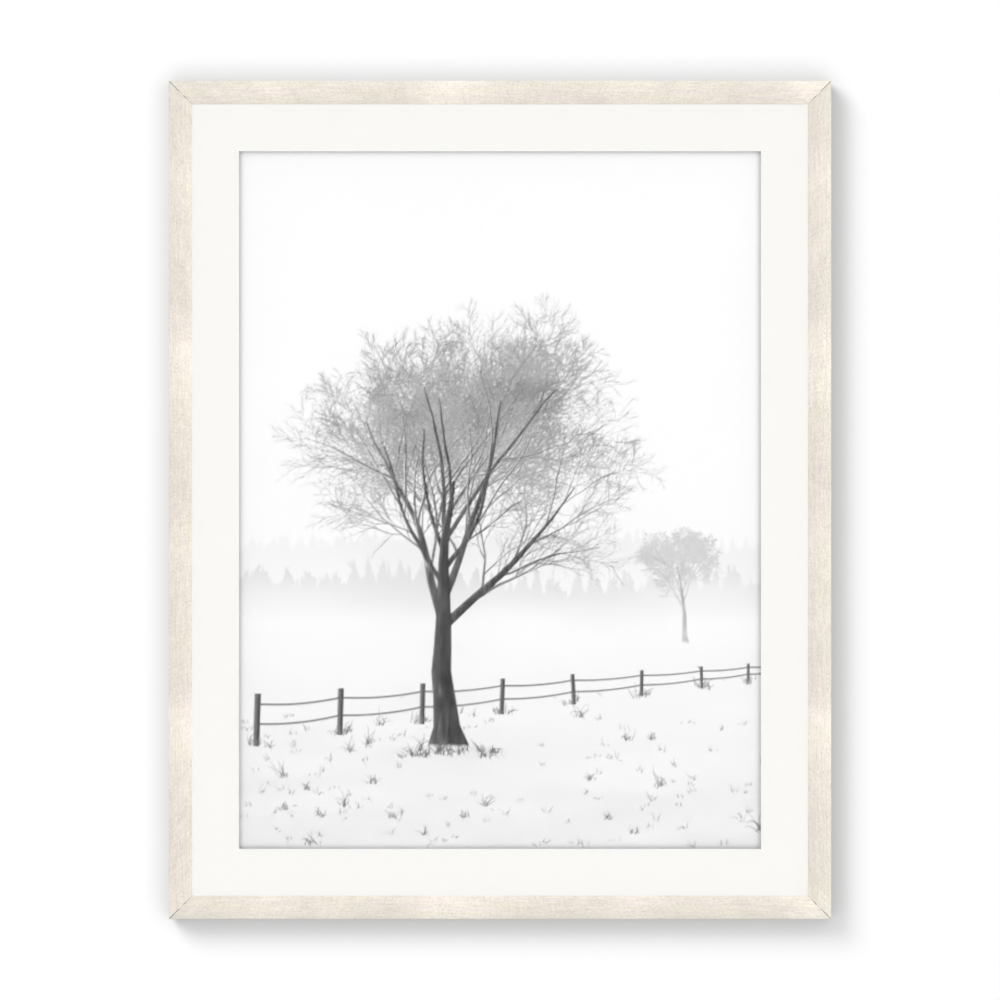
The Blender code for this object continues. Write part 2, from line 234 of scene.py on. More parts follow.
def line_noise(rng, x, cell, octaves):
    """Fractal noise along x alone."""
    return fractal_noise(rng, x, np.zeros((1, 1)), cell, 1, octaves)


def soft_step(value, width):
    """0 below zero and 1 above it, over a soft step of the width."""
    t = np.clip(value / width + 0.5, 0, 1)
    return t * t * (3 - 2 * t)


# ---------------------------------------------------------------- materials


class Finish:
    """A material's node tree, with short calls for the nodes that the finishes share."""

    def __init__(self, name):
        self.material = bpy.data.materials.new(name)
        self.material.use_nodes = True
        self.tree = self.material.node_tree
        self.shader = self.tree.nodes["Principled BSDF"]

    def feed(self, socket, value):
        """Links an output to a socket, or sets the socket's own value. A colour gets its alpha."""
        if isinstance(value, bpy.types.NodeSocket):
            self.tree.links.new(value, socket)
        elif hasattr(value, "__len__"):
            socket.default_value = (*value, 1.0)[: len(socket.default_value)]
        else:
            socket.default_value = value

    def node(self, kind, inputs=(), output=0, **settings):
        """Adds a node, feeds its inputs by name or number, and gives one of its outputs."""
        made = self.tree.nodes.new("ShaderNode" + kind)
        for name, value in settings.items():
            setattr(made, name, value)
        for name, value in dict(inputs).items():
            self.feed(made.inputs[name], value)
        return made.outputs[output]

    def position(self):
        return self.node("TexCoord", output="Object")

    def value(self, name):
        return self.node("Attribute", output="Fac", attribute_name=name)

    def noise(self, place, scale, detail=2.0, roughness=0.5, distortion=0.0, shift=(0, 0, 0)):
        """Noise with one scale, or with a scale for each axis and a shift."""
        if hasattr(scale, "__len__"):
            place = self.node("Mapping", {"Vector": place, "Scale": scale, "Location": shift})
            scale = 1.0
        inputs = {"Vector": place, "Scale": scale, "Detail": detail, "Roughness": roughness}
        return self.node("TexNoise", {**inputs, "Distortion": distortion}, "Fac")

    def math(self, operation, first, second, clamp=False):
        return self.node("Math", {0: first, 1: second}, operation=operation, use_clamp=clamp)

    def multiply(self, first, second):
        return self.math("MULTIPLY", first, second)

    def add(self, total, *values):
        for value in values:
            total = self.math("ADD", total, value)
        return total

    def spread(self, value, low, high):
        """A noise value moved from 0..1 to low..high."""
        return self.add(self.multiply(value, high - low), low)

    def ramp(self, value, low, high):
        """0 at low and 1 at high, with a smooth step between them."""
        inputs = {"Value": value, "From Min": low, "From Max": high}
        return self.node("MapRange", inputs, interpolation_type="SMOOTHSTEP")

    def blend(self, factor, first, second):
        return self.node("Mix", {0: factor, 6: first, 7: second}, 2, data_type="RGBA")

    def scaled(self, colour, factor):
        """A colour times a value."""
        return self.node("VectorMath", {0: colour, "Scale": factor}, operation="SCALE")

    def bump(self, height, distance, strength):
        return self.node("Bump", {"Height": height, "Distance": distance, "Strength": strength})

    def set(self, **sockets):
        """Sets or links the shader's sockets, named with underscores for spaces."""
        for name, value in sockets.items():
            self.feed(self.shader.inputs[name.replace("_", " ")], value)
        return self.material

    def surface(self, shader):
        """Puts another shader in place of the usual one."""
        self.tree.nodes.remove(self.shader)
        self.feed(self.tree.nodes["Material Output"].inputs["Surface"], shader)
        return self.material


def whitewashed_wood(colours):
    """Brushed whitewash over pale wood: fine streaks and brown flecks along the rail, hues that
    change in long narrow bands, and bare wood on the back."""
    f = Finish("whitewashed_wood")
    grain = f.node("UVMap", uv_map="Grain")
    streak = f.noise(grain, (110, 640, 1), 2.0, 0.6)
    long_streak = f.noise(grain, (26, 480, 1), shift=(3.1, 1.7, 0))
    dash = f.noise(grain, (470, 640, 1), 1.0, shift=(7.3, 4.1, 0))
    cross = f.noise(grain, (430, 70, 1), 1.0, shift=(2.6, 0.9, 0))
    cluster = f.noise(grain, (62, 52, 1), 3.0, shift=(1.3, 8.2, 0))
    hue = f.noise(grain, (11, 330, 1), shift=(5.7, 2.9, 0))
    rings = f.noise(grain, (9, 420, 1), 4.0, 0.6, 0.6, shift=(2, 5, 0))
    parts = ((streak, 0.15), (long_streak, 0.12), (dash, 0.175), (cross, 0.08), (cluster, 0.09))
    tone = f.add(*(f.spread(part, -height, height) for part, height in parts), 1.0)
    wash = f.blend(f.ramp(hue, 0.36, 0.64), colours.wash_warm, colours.wash_cool)
    wash = f.blend(f.value("arris"), wash, colours.wash_arris)
    # The rails' own tone scales the wash: lighter bands along them, painted light and shade across
    # each face and painted shade at the open mitres.
    wash = f.scaled(wash, f.multiply(tone, f.value("wash_tone")))
    thin = f.multiply(f.ramp(dash, 0.42, 0.26), f.ramp(cluster, 0.56, 0.38))
    wash = f.blend(f.multiply(thin, 0.55), wash, colours.wash_thin)
    pale = f.blend(f.ramp(rings, 0.35, 0.65), colours.bare_wood, colours.bare_wood_dark)
    bare = f.ramp(f.add(f.value("bare"), f.spread(long_streak, -0.35, 0.35)), 0.4, 0.6)
    height = f.add(f.multiply(streak, 0.7), f.multiply(dash, 0.3))
    return f.set(
        Base_Color=f.blend(bare, wash, pale),
        Roughness=f.add(f.spread(streak, 0.68, 0.46), f.multiply(bare, 0.2)),
        Normal=f.bump(height, 0.00012, 0.5),
    )


def joint_filler(colours):
    """The touch-up wax in the middle of a mitre."""
    f = Finish("joint_filler")
    mottle = f.noise(f.position(), 900.0)
    base = f.blend(mottle, colours.wash_warm, colours.wash_cool)
    base = f.scaled(base, f.spread(mottle, 0.90, 1.04))
    return f.set(Base_Color=base, Roughness=0.5, Normal=f.bump(mottle, 0.00005, 0.4))


def mat_paper(colours):
    """Smooth off-white mat board with a faint felt texture, a whiter core in the bevel and a
    near-black back, which deepens the shade that the mat casts on the print."""
    f = Finish("mat_paper")
    place = f.position()
    fibre = f.noise(place, 900.0, 3.0, 0.6)
    felt = f.noise(place, (260, 260, 420), shift=(0.3, 0.1, 0.7))
    base = f.blend(f.value("core"), colours.mat_face, colours.mat_core)
    # Painted shade: the mat's back is near black and sits where there is only shade, so that little
    # light bounces under the window's edge and the print's shade there is deeper.
    base = f.blend(f.value("lining"), base, colours.mat_back_darkened_for_shade)
    base = f.scaled(base, f.add(f.spread(fibre, -0.012, 0.012), f.spread(felt, 0.994, 1.006)))
    height = f.add(f.multiply(fibre, 0.5), f.multiply(felt, 0.5))
    rough = f.spread(fibre, 0.84, 0.96)
    return f.set(Base_Color=base, Roughness=rough, Normal=f.bump(height, 0.00006, 0.35))


def print_paper(colours):
    """Matte fine art paper: the ink's tone from the sheet's own points, over paper white."""
    f = Finish("print_paper")
    place = f.position()
    tooth = f.noise(place, 1500.0, 2.0, 0.6)
    speck = f.noise(place, (2600, 2600, 2600), 1.0, shift=(1820, 520, 1040))
    ink = f.value("ink_tone")
    grain = f.multiply(f.spread(speck, -0.10, 0.10), f.math("SUBTRACT", 1.0, ink))
    tone = f.math("ADD", ink, grain, clamp=True)
    base = f.scaled(colours.paper_white, f.multiply(tone, f.spread(tooth, 0.994, 1.006)))
    rough = f.add(f.spread(tooth, 0.80, 0.92), f.multiply(ink, 0.04))
    return f.set(Base_Color=base, Roughness=rough, Normal=f.bump(tooth, 0.00005, 0.3))


def clear_glazing():
    """Low reflection acrylic: clear, with a faint gloss that grows towards the edge of view."""
    f = Finish("clear_glazing")
    smear = f.noise(f.position(), 14.0, 3.0)
    clear = f.node("BsdfTransparent", {"Color": (0.996, 0.996, 0.996)})
    gloss = f.node("BsdfGlossy", {"Roughness": f.spread(smear, 0.03, 0.09)})
    rim = f.node("Fresnel", {"IOR": 1.12})
    return f.surface(f.node("MixShader", {0: rim, 1: clear, 2: gloss}))


def kraft_paper(colours):
    """Brown kraft paper: fibres both ways, pale strands, dark flecks and a slight mottle."""
    f = Finish("kraft_paper")
    place = f.position()
    fibre = f.noise(place, (120, 1, 1100), 4.0, 0.65)
    cross = f.noise(place, (1000, 1, 160), 3.0, 0.6, shift=(0.2, 0, 0.5))
    strand = f.ramp(f.noise(place, (38, 1, 640), 2.0, 0.5, 0.8, (1, 0, 7)), 0.60, 0.67)
    fleck = f.ramp(f.noise(place, (300, 1, 700), shift=(4, 0, 2)), 0.66, 0.72)
    mottle = f.noise(place, 26.0, 4.0, 0.6)
    woven = f.ramp(f.multiply(f.add(fibre, cross), 0.5), 0.36, 0.64)
    base = f.blend(woven, colours.kraft_dark, colours.kraft_light)
    base = f.blend(f.multiply(strand, 0.24), base, colours.kraft_strand)
    base = f.blend(f.multiply(fleck, 0.5), base, colours.kraft_fleck)
    base = f.scaled(base, f.spread(mottle, 0.86, 1.14))
    height = f.add(f.multiply(fibre, 0.5), f.multiply(cross, 0.5))
    rough = f.spread(fibre, 0.72, 0.92)
    return f.set(Base_Color=base, Roughness=rough, Normal=f.bump(height, 0.00012, 0.6))


def zinc_steel():
    """Zinc plated steel: brushed along X, with a cloudy plating."""
    f = Finish("zinc_steel")
    place = f.position()
    brushed = f.noise(place, (300, 2500, 5200), 3.0, 0.6)
    cloud = f.noise(place, 420.0, 3.0)
    base = f.blend(cloud, (0.54, 0.55, 0.55), (0.70, 0.69, 0.65))
    rough = f.add(f.spread(brushed, 0.22, 0.40), f.spread(cloud, -0.05, 0.05))
    normal = f.bump(brushed, 0.00003, 0.4)
    return f.set(Base_Color=base, Metallic=1.0, Roughness=rough, Normal=normal)


def point_steel():
    """Plain rolled steel with a darker bloom."""
    f = Finish("point_steel")
    place = f.position()
    rolled = f.noise(place, (600, 600, 4000), 3.0)
    bloom = f.ramp(f.noise(place, 260.0, 3.0), 0.35, 0.7)
    base = f.blend(bloom, (0.56, 0.56, 0.57), (0.38, 0.36, 0.34))
    rough = f.spread(rolled, 0.30, 0.50)
    normal = f.bump(rolled, 0.00003, 0.4)
    return f.set(Base_Color=base, Metallic=1.0, Roughness=rough, Normal=normal)


def foam_board():
    """White paper-faced foam board: calendered faces with open foam cells at the edges."""
    f = Finish("foam_board")
    place = f.position()
    paper = f.noise(place, 700.0, 3.0)
    cells = f.node("TexVoronoi", {"Vector": place, "Scale": 1400.0}, "Distance")
    base = f.blend(paper, (0.82, 0.82, 0.80), (0.88, 0.88, 0.87))
    height = f.add(f.multiply(paper, 0.7), f.multiply(cells, 0.3))
    rough = f.spread(paper, 0.62, 0.80)
    return f.set(Base_Color=base, Roughness=rough, Normal=f.bump(height, 0.00006, 0.4))


def soft_rubber():
    """Milky translucent polyurethane with a satin skin and dust on it."""
    f = Finish("soft_rubber")
    place = f.position()
    cloud = f.noise(place, 500.0)
    dust = f.ramp(f.noise(place, 2600.0), 0.60, 0.72)
    base = f.blend(f.multiply(dust, 0.35), (0.80, 0.79, 0.75), (0.62, 0.60, 0.56))
    base = f.scaled(base, f.spread(cloud, 0.95, 1.03))
    rough = f.add(f.spread(cloud, 0.26, 0.38), f.multiply(dust, 0.25))
    return f.set(Base_Color=base, Roughness=rough, Normal=f.bump(dust, 0.00004, 0.4))


def give(names, material):
    """Assigns a material to every slot of the packed model's nodes."""
    for name in names:
        node = frame["nodes"][name]
        if not node.material_slots:
            node.data.materials.append(material)
        for held in node.material_slots:
            held.material = material


# ---------------------------------------------------------------- moulding


def moulding_section():
    """The moulding's closed section as arrays (across, depth, worked, bare).

    Across runs from the outer side, 0, to the sight edge. It starts at the back of the outer
    side and goes by the quarter-round arris, the crowned face 4s(1 - s) high, the small round
    of the sight edge, the lip and the rebate. Worked is 1 where the brushed relief shows, and
    bare is 1 on the unpainted back.
    """
    edge = RAIL_FRONT + CROWN_RISE
    side = np.linspace(RAIL_BACK - BACK_CHAMFER, edge + ARRIS_RADIUS, 15)[:-1]
    arris = np.radians(np.linspace(180, 270, 9))
    share = np.linspace(0, 1, 31)[1:-1]
    sight = np.radians(np.linspace(270, 360, 7))
    face_width = FACE_WIDTH - SIGHT_RADIUS - ARRIS_RADIUS
    parts = (
        (0 * side, side, 1, soft_step(side - RAIL_BACK + 0.0015, 0.002)),
        (ARRIS_RADIUS * (1 + np.cos(arris)), edge + ARRIS_RADIUS * (1 + np.sin(arris)), 1, 0),
        (ARRIS_RADIUS + face_width * share, edge - CROWN_RISE * 4 * share * (1 - share), 1, 0),
        (FACE_WIDTH - SIGHT_RADIUS * (1 - np.cos(sight)), edge + SIGHT_RADIUS * (1 + np.sin(sight)),
         np.linspace(1, 0, 7), 0),
        (np.array([FACE_WIDTH, REBATE_WALL]), LIP_BACK, 0, np.array([0.5, 1])),
        (np.array([REBATE_WALL, REBATE_WALL / 2, BACK_CHAMFER]), RAIL_BACK, 0, 1),
    )
    return np.concatenate([np.stack(np.broadcast_arrays(*part), 1) for part in parts]).T


# The rails' columns, their bands and strip of wash, the round at their ends and the mitres'
# filler.
RAIL_STEP = 0.0011
RAIL_END = 0.0036
BAND_REPEAT = 0.3237
PLAIN_LEVEL = 225
FULL_LEVEL = 230
ARRIS_WASH = 0.0030
END_ROUND = 0.00015
FILL_FROM = 0.0088
FILL_TO = 0.0130


def lengthwise_tone(distance):
    """The wash's lighter bands along a rail, which repeat every 324 mm from its corner.

    Each band is a bell round its place, some display levels over the plain wash, and the
    strong one falls off more slowly than it rises. FULL_LEVEL has the wash's own colour.
    """
    phase = np.mod(distance, BAND_REPEAT)
    strong = np.where(phase < 0.216, 0.021, 0.050)
    tone = PLAIN_LEVEL
    for height, place, reach in ((8.0, 0.066, 0.024), (3.5, 0.125, 0.022), (15.0, 0.216, strong)):
        tone = tone + height * np.exp(-(((phase - place) / reach) ** 2))
    return (tone / FULL_LEVEL) ** DISPLAY_GAMMA


def rail_columns(reach):
    """Places along a rail from -1 to 1: about 1.1 mm apart, and finer at both mitres."""
    near = np.array([0, 0.00004, 0.0001, 0.00018, 0.0003, 0.0005, 0.0009, 0.0015, 0.0024]) / reach
    count = int(round(2 * reach / RAIL_STEP / 8)) * 8
    middle = np.linspace(-1 + RAIL_END / reach, 1 - RAIL_END / reach, count - 17)
    return np.concatenate([near - 1, middle, (1 - near)[::-1]])


def finished_rail(side, index, sizes, material):
    """One rail: the section carried along it, with its ends at 45 degrees.

    A point at a share s of the length and across a lies at x = s (reach - a). Brush relief,
    lattice noise stretched along the rail, moves it along the section's normal, and the last
    0.15 mm rounds over at the mitre.
    """
    rng = np.random.default_rng(100 + index)
    across, depth, worked, bare = moulding_section()
    long_side, outer = (HALF_HEIGHT, HALF_WIDTH) if index % 2 else (HALF_WIDTH, HALF_HEIGHT)
    reach = long_side - MITRE_BACKOFF
    share = rail_columns(reach)
    run = np.hypot(np.diff(across, append=across[0]), np.diff(depth, append=depth[0]))
    girth = np.concatenate([[0], np.cumsum(run)])
    heading = np.stack([np.roll(part, -1) - np.roll(part, 1) for part in (across, depth)])
    heading /= np.hypot(*heading)
    along = share[:, None] * (reach - across)
    place = np.broadcast_to(girth[:-1], along.shape)
    relief = 0
    for height, long, wide in ((0.6, 0.011, 0.0013), (0.4, 0.0035, 0.0008), (1.1, 0.060, 0.0070)):
        relief = relief + height * lattice_noise(rng, along, place, long, wide)
    to_end = (1 - np.abs(share))[:, None] * (reach - across)
    fall = END_ROUND * (1 - np.sqrt(1 - np.clip(1 - to_end / END_ROUND, 0, 1) ** 2))
    lift = (relief - 0.5) * sizes.brush_depth * worked
    lift = lift - np.minimum(fall, 0.8 * END_ROUND) * (worked > 0.5)
    y = depth - heading[0] * lift
    up = outer - across - heading[1] * lift
    turn = math.radians(90 * index)
    x = along * math.cos(turn) + up * math.sin(turn)
    z = up * math.cos(turn) - along * math.sin(turn)
    mesh = capped_tube("moulding_" + side, np.stack([x, y, z], -1))

    # Painted light and shade: every rail's face is lighter towards its top or right edge, as if lit
    # from the upper right, by up to 5.5 per cent either way.
    lean = 1 if index < 2 else -1
    painted_light_across = lean * (1 - 2 * across / FACE_WIDTH)
    tone = lengthwise_tone(long_side + lean * along - FACE_WIDTH) * (1 + 0.055 * painted_light_across)
    # Painted shade: within about 0.35 mm of each mitre, outside the filler, the wash is darkened in
    # place of the shade in the open joint.
    joint = np.exp(-((to_end / 0.00035) ** 2)) * (1 - joint_fill(across))
    set_values(mesh, "wash_tone", tone * (1 - sizes.joint_painted_shade * joint))
    ragged = lattice_noise(rng, along, place, 0.009, 0.004) * 0.0004
    strip = soft_step(ARRIS_WASH - across + ragged, 0.0010)
    strip = strip * soft_step(RAIL_FRONT + 0.0025 - depth, 0.002)
    set_values(mesh, "arris", strip)
    set_values(mesh, "bare", np.broadcast_to(bare, along.shape))
    map_rail(mesh, share * reach, girth, index)
    add_piece("moulding_" + side, mesh, ["rail_" + side], material, 35)


def joint_fill(across):
    """1 across the part of a mitre that the filler covers, and 0 outside it."""
    return soft_step(across - FILL_FROM, 0.0012) * soft_step(FILL_TO - across, 0.0012)


def map_rail(mesh, along, girth, index):
    """Two maps: "Grain" in metres along and round the rail, and "OFBake", in which the rail is
    folded into four strips, one above another, with the painted faces given most of the height.
    """
    columns = len(girth) - 1
    cells = len(along) - 1
    i = np.repeat(np.arange(cells), columns)
    k = np.tile(np.arange(columns), cells)
    corner_i = np.stack([i, i, i + 1, i + 1], 1)
    corner_k = np.stack([k, k + 1, k + 1, k], 1)
    grain = np.stack([along[corner_i] + 5.0 * index, girth[corner_k] + 0.7 * index], -1)
    strip_of = np.arange(cells) * 4 // cells
    strip = strip_of[i][:, None]
    first = np.searchsorted(strip_of, np.arange(5))
    start = along[first[strip]]
    end = along[first[strip + 1]]
    u = 0.004 + 0.992 * (along[corner_i] - start) / (end - start)
    painted = girth[-6]
    squeezed = np.where(girth < painted, girth, painted + (girth - painted) * 0.35)
    v = (strip + 0.02 + 0.94 * (squeezed / squeezed[-1])[corner_k]) * 0.245
    bake = np.stack([u, v], -1)
    cap = np.stack([0.01 + 0.4 * girth[:-1] / girth[-1], np.full(columns, 0.99)], -1)
    cap[: columns // 2, 1] = 0.985
    flat_grain = np.stack([np.zeros(columns), girth[:-1]], -1)
    set_map(mesh, "Grain", np.concatenate([grain.reshape(-1, 2), flat_grain, flat_grain + (1, 0)]))
    set_map(mesh, "OFBake", np.concatenate([bake.reshape(-1, 2), cap, cap + (0.5, 0)]))


def mitre_filler(corner, number, material):
    """The filler in one mitre: a narrow ridge between the rails, flush with their faces.

    Along the mitre it runs from FILL_FROM to FILL_TO across the rails, and its section is a
    half ellipse on a rectangle that reaches a millimetre into the joint.
    """
    sx, sz = corner
    t = np.linspace(0, 1, 15)[:, None]
    across = FILL_FROM + (FILL_TO - FILL_FROM) * t
    share = np.clip((across - ARRIS_RADIUS) / (FACE_WIDTH - SIGHT_RADIUS - ARRIS_RADIUS), 0, 1)
    face = RAIL_FRONT + CROWN_RISE * (1 - 4 * share * (1 - share))
    swell = np.sin(np.pi * np.clip(t, 0.04, 0.96)) ** 0.35
    turn = np.radians(np.linspace(180, 360, 9))
    side = np.concatenate([np.cos(turn), [1, -1]]) * 0.00019 * swell
    y = face + np.concatenate([0.00002 * np.sin(turn), [0.001, 0.001]]) + 0.00006
    x = sx * (HALF_WIDTH - across) + side / math.sqrt(2) * sz
    z = sz * (HALF_HEIGHT - across) - side / math.sqrt(2) * sx
    mesh = capped_tube(f"mitre_filler_{number}", np.stack([x, y, z], -1))
    add_piece(f"mitre_filler_{number}", mesh, (), material, 40)


# ---------------------------------------------------------------- mat


def bevelled_mat(material):
    """The mat: a rectangular ring swept round the window.

    Its section, from the outer front edge, is the flat face, a fine round, the 45 degree bevel
    down to the window's edge, and the flat back. Going round, each side is cut into steps.
    """
    fine = 0.00012
    bevel = MAT_BACK - MAT_FRONT
    inner = np.array([
        (bevel + fine * 2.4, 0.0, 0.0),
        (bevel + fine, fine * 0.08, 0.05),
        (bevel + fine * 0.1, fine * 0.45, 0.5),
        (bevel - fine * 0.7, fine * 1.0, 1.0),
        (bevel * 0.5, bevel * 0.5, 1.0),
        (fine * 0.9, bevel - fine * 0.9, 1.0),
        (0.0, bevel - fine * 0.15, 1.0),
        (fine * 0.2, bevel, 1.0),
    ])
    out, down, core = inner.T
    lead = np.linspace(1, 0, 12)[:-1]
    flat = np.zeros(len(lead))
    down = np.concatenate([flat, down, [bevel, bevel]])
    core = np.concatenate([flat, core, [1.0, 1.0]])
    t = np.linspace(-1, 1, 41)[:-1]
    one = np.ones_like(t)
    round_x = np.concatenate([t, one, -t, -one])[:, None]
    round_z = np.concatenate([-one, t, one, -t])[:, None]

    def carried(turn, half_window, half_board):
        margin = half_board - half_window
        face = out[0] + (margin - out[0]) * lead
        return turn * (half_window + np.concatenate([face, out, [margin * 0.5, margin]]))

    x = carried(round_x, IMAGE_WIDTH / 2, BOARD_HALF_WIDTH)
    z = carried(round_z, IMAGE_HEIGHT / 2, BOARD_HALF_HEIGHT)
    y = np.broadcast_to(MAT_FRONT + down, x.shape)
    rows, columns = x.shape
    wrapped = grid_faces(rows + 1, columns, True).reshape(-1) % (rows * columns)
    points = np.stack([x, y, z], -1).reshape(-1, 3)
    mesh = mesh_from("bevelled_mat", points, wrapped, np.full(rows * columns, 4))
    set_values(mesh, "core", np.broadcast_to(core, x.shape))
    # The last columns are the mat's back, which takes the near-black colour that deepens the mat's
    # shade on the print.
    set_values(mesh, "lining", np.broadcast_to(np.arange(columns) >= columns - 3, x.shape))
    add_piece("bevelled_mat", mesh, ["mat_board"], material, 25)


# ---------------------------------------------------------------- picture


# The picture's random numbers: the snow, fence and grass, the trees' growth, and the frost.
SCENE_SEED = 30
TREE_SEED = 30
FROST_SEED = 5

# Its layout, in metres from the middle, and how far it runs on under the mat.
HORIZON = -0.118
TREE_FOOT = (-0.045, -0.222)
SMALL_TREE_FOOT = (0.163, -0.128)
BANK = (-0.045, -0.221)
SMALL_TREE_SNOW = -0.125
TREE_SNOW = -0.216
UNDER_MAT = 0.006

# How much ink at the front outweighs what is behind it, and the tolerance for the last split.
FRONT_WEIGHT = 8
LAST_SPLIT = 2.4


class InkPlate:
    """A raster that ink is laid on: each cell's cover and its ink's tone, mostly the front's."""

    def __init__(self, low, cell, shape):
        self.low = np.array(low)
        self.cell = cell
        self.spacing = 0.9 * cell
        self.shape = shape
        self.cover, self.mass, self.ink = np.zeros((3, *shape))

    def lay(self, places, area, tone, front=0.0):
        """Shares each sample's ink between the four cells round it. Ink farther to the front
        counts for more in a cell's tone."""
        count = np.exp(FRONT_WEIGHT * np.broadcast_to(front, area.shape))
        spot = (places - self.low) / self.cell - 0.5
        base = np.floor(spot).astype(int)
        part = spot - base
        rows, columns = self.shape
        for i in (0, 1):
            for k in (0, 1):
                column, row = base[:, 0] + i, base[:, 1] + k
                inside = (column >= 0) & (column < columns) & (row >= 0) & (row < rows)
                beside = part[:, 0] if i else 1 - part[:, 0]
                above = part[:, 1] if k else 1 - part[:, 1]
                key = (row * columns + column)[inside]
                weight = beside * above * area / self.cell**2
                for layer, factor in ((self.cover, 1), (self.mass, count), (self.ink, tone)):
                    weight = weight * factor
                    layer += np.bincount(key, weight[inside], rows * columns).reshape(self.shape)

    def print_on(self, tone, strength=1.0):
        """The tone under the ink, seen where the ink doesn't cover it."""
        cover = np.clip(self.cover, 0, 1) * strength
        ink = self.ink / np.maximum(self.mass, 1e-9)
        return tone * (1 - cover) + ink * cover


def stroke_samples(points, widths, spacing):
    """Samples spread evenly over tapered strokes, as (places, area, offset across).

    Points is (strokes, knots, 2) and widths (strokes, knots). The normal at a knot is the
    mean of its neighbours', so that a bend leaves no gap.
    """
    knots = widths.shape[1]
    reach = np.linalg.norm(np.diff(points, axis=1), axis=2).sum(1)
    along = int(np.ceil(reach.max() / spacing)) + 1
    across = int(np.ceil(widths.max() / spacing)) + 1
    place = (np.arange(along) + 0.5) / along * (knots - 1)
    index = np.minimum(place.astype(int), knots - 2)
    rest = place - index
    run = np.gradient(points, axis=1)
    run /= np.linalg.norm(run, axis=2, keepdims=True) + 1e-12

    def between(values):
        part = rest.reshape((1, -1) + (1,) * (values.ndim - 2))
        return values[:, index] * (1 - part) + values[:, index + 1] * part

    centre = between(points)
    heading = between(run)
    wide = between(widths)
    offset = ((np.arange(across) + 0.5) / across - 0.5)[None, None, :]
    normal = np.stack([-heading[..., 1], heading[..., 0]], -1)
    spread = centre[:, :, None] + normal[:, :, None] * (wide[..., None] * offset)[..., None]
    area = np.repeat((wide * (reach / along)[:, None] / across)[..., None], across, axis=2)
    return spread.reshape(-1, 2), area.ravel(), np.broadcast_to(offset, area.shape).ravel()


def walked(start, angle, length):
    """Walks of equal steps with the headings given, as points (walks, steps + 1, 2)."""
    step = (length / angle.shape[1])[:, None, None]
    walk = np.cumsum(np.stack([np.cos(angle), np.sin(angle)], -1) * step, axis=1)
    return np.concatenate([start[:, None], start[:, None] + walk], axis=1)


def grow_tree(rng, root, height, trunk, counts, upright=0.10):
    """A bare tree as (points, widths, level), one level of branching at a time.

    A branch is a walk whose heading drifts at random and turns a little upwards. Its children
    start along it, to one side or the other, shorter and thinner the farther out they start.
    """
    steps = 10
    t = np.linspace(0, 1, steps + 1)
    start = np.array([root])
    heading = np.array([math.pi / 2 + rng.normal(0, 0.03)])
    length = np.array([height * 0.46])
    width = np.array([trunk])
    levels = []
    for level, children in enumerate(counts):
        wander = np.cumsum(rng.normal(0, 0.05 + 0.028 * level, (len(heading), steps)), axis=1)
        pull = upright * (2.2 if level < 3 else 0.8)
        angle = heading[:, None] + wander + (math.pi / 2 - heading)[:, None] * pull * t[None, 1:]
        points = walked(start, angle, length)
        taper = 1 - (0.90, 0.93, 0.90, 0.80, 0.62, 0.62)[level] * t
        flare = 1 + 0.75 * np.exp(-t * 22) * (level == 0)
        levels.append((points, width[:, None] * taper * flare, level))
        if not children:
            break
        count = len(heading)
        low = 0.42 if level == 0 else 0.16
        spread = (np.arange(children) + rng.uniform(0, 1, (count, children))) / children
        at = low + (1 - low) * spread
        index = np.minimum((at * steps).astype(int), steps - 1)
        rest = (at * steps - index)[..., None]
        who = np.arange(count)[:, None]
        start = (points[who, index] * (1 - rest) + points[who, index + 1] * rest).reshape(-1, 2)
        side = np.where((np.arange(children)[None] + rng.integers(0, 2, (count, 1))) % 2, 1, -1)
        turn = rng.uniform(0.30, 0.85, (count, children)) * (1.05 - 0.35 * at)
        heading = (angle[who, index] + side * turn).ravel()
        ratio = (0.78 if level == 0 else 0.60) * rng.uniform(0.7, 1.15, (count, children))
        length = (length[:, None] * ratio * (1.25 - 0.62 * at)).ravel()
        thinner = np.interp(at, t, taper) * rng.uniform(0.42, 0.66, at.shape)
        width = np.maximum(width[:, None] * thinner, 0.00028).ravel()
    return levels


def lay_tree(plate, levels, rng, dark, light, frost):
    """Lays a tree's strokes: dark ridged wood, paler towards the twigs. Snow lies along the
    upper side of the limbs, and frost whitens the twigs in clusters."""
    for points, widths, level in levels:
        places, area, offset = stroke_samples(points, widths, plate.spacing)
        share = min(level / 5, 1)
        front = np.repeat(rng.uniform(0, 1, len(points)), len(area) // len(points))
        tone = dark + (light - dark) * share + rng.normal(0, 0.05, len(area))
        tone = tone + 0.26 * share * (0.45 - front)
        if level < 2:
            bark = fractal_noise(rng, *places.T, 0.0020, 0.0110, 2)
            tone = tone + 0.34 * np.clip(offset, 0, 1) + 0.13 * bark
        clump = fractal_noise(np.random.default_rng(FROST_SEED), *places.T, 0.030, 0.022, 2)
        frosty = rng.uniform(0, 1, len(area)) < frost * (share - 0.2) * 1.25 * (1 + 0.5 * clump)
        snowy = (level > 1) & (level < 4) & (offset > 0.40 - 0.34 * share) & (clump > -0.35)
        ink = np.clip(np.where(frosty | snowy, 0.96, tone), 0, 1)
        plate.lay(places, area, ink, front + 0.35 * max(3 - level, 0))


def grass_blades(rng, places, count, length, width):
    """Tufts of grass as (points, widths): each blade leans its own way and curls at its tip."""
    root = np.repeat(places, count, axis=0)
    root = root + rng.normal(0, 0.0022, root.shape) * np.array([1, 0.30])
    total = len(root)
    t = np.linspace(0, 1, 9)
    lean = rng.normal(0, 0.38, total)
    curl = rng.normal(0, 0.9, total) + lean
    angle = math.pi / 2 + lean[:, None] + curl[:, None] * t[None, 1:] ** 2
    size = length * rng.uniform(0.3, 1.0, total)
    size = size * np.repeat(rng.uniform(0.4, 1.2, len(places)), count)
    return walked(root, angle, size), width * rng.uniform(0.5, 1.2, (total, 1)) * (1 - 0.7 * t)


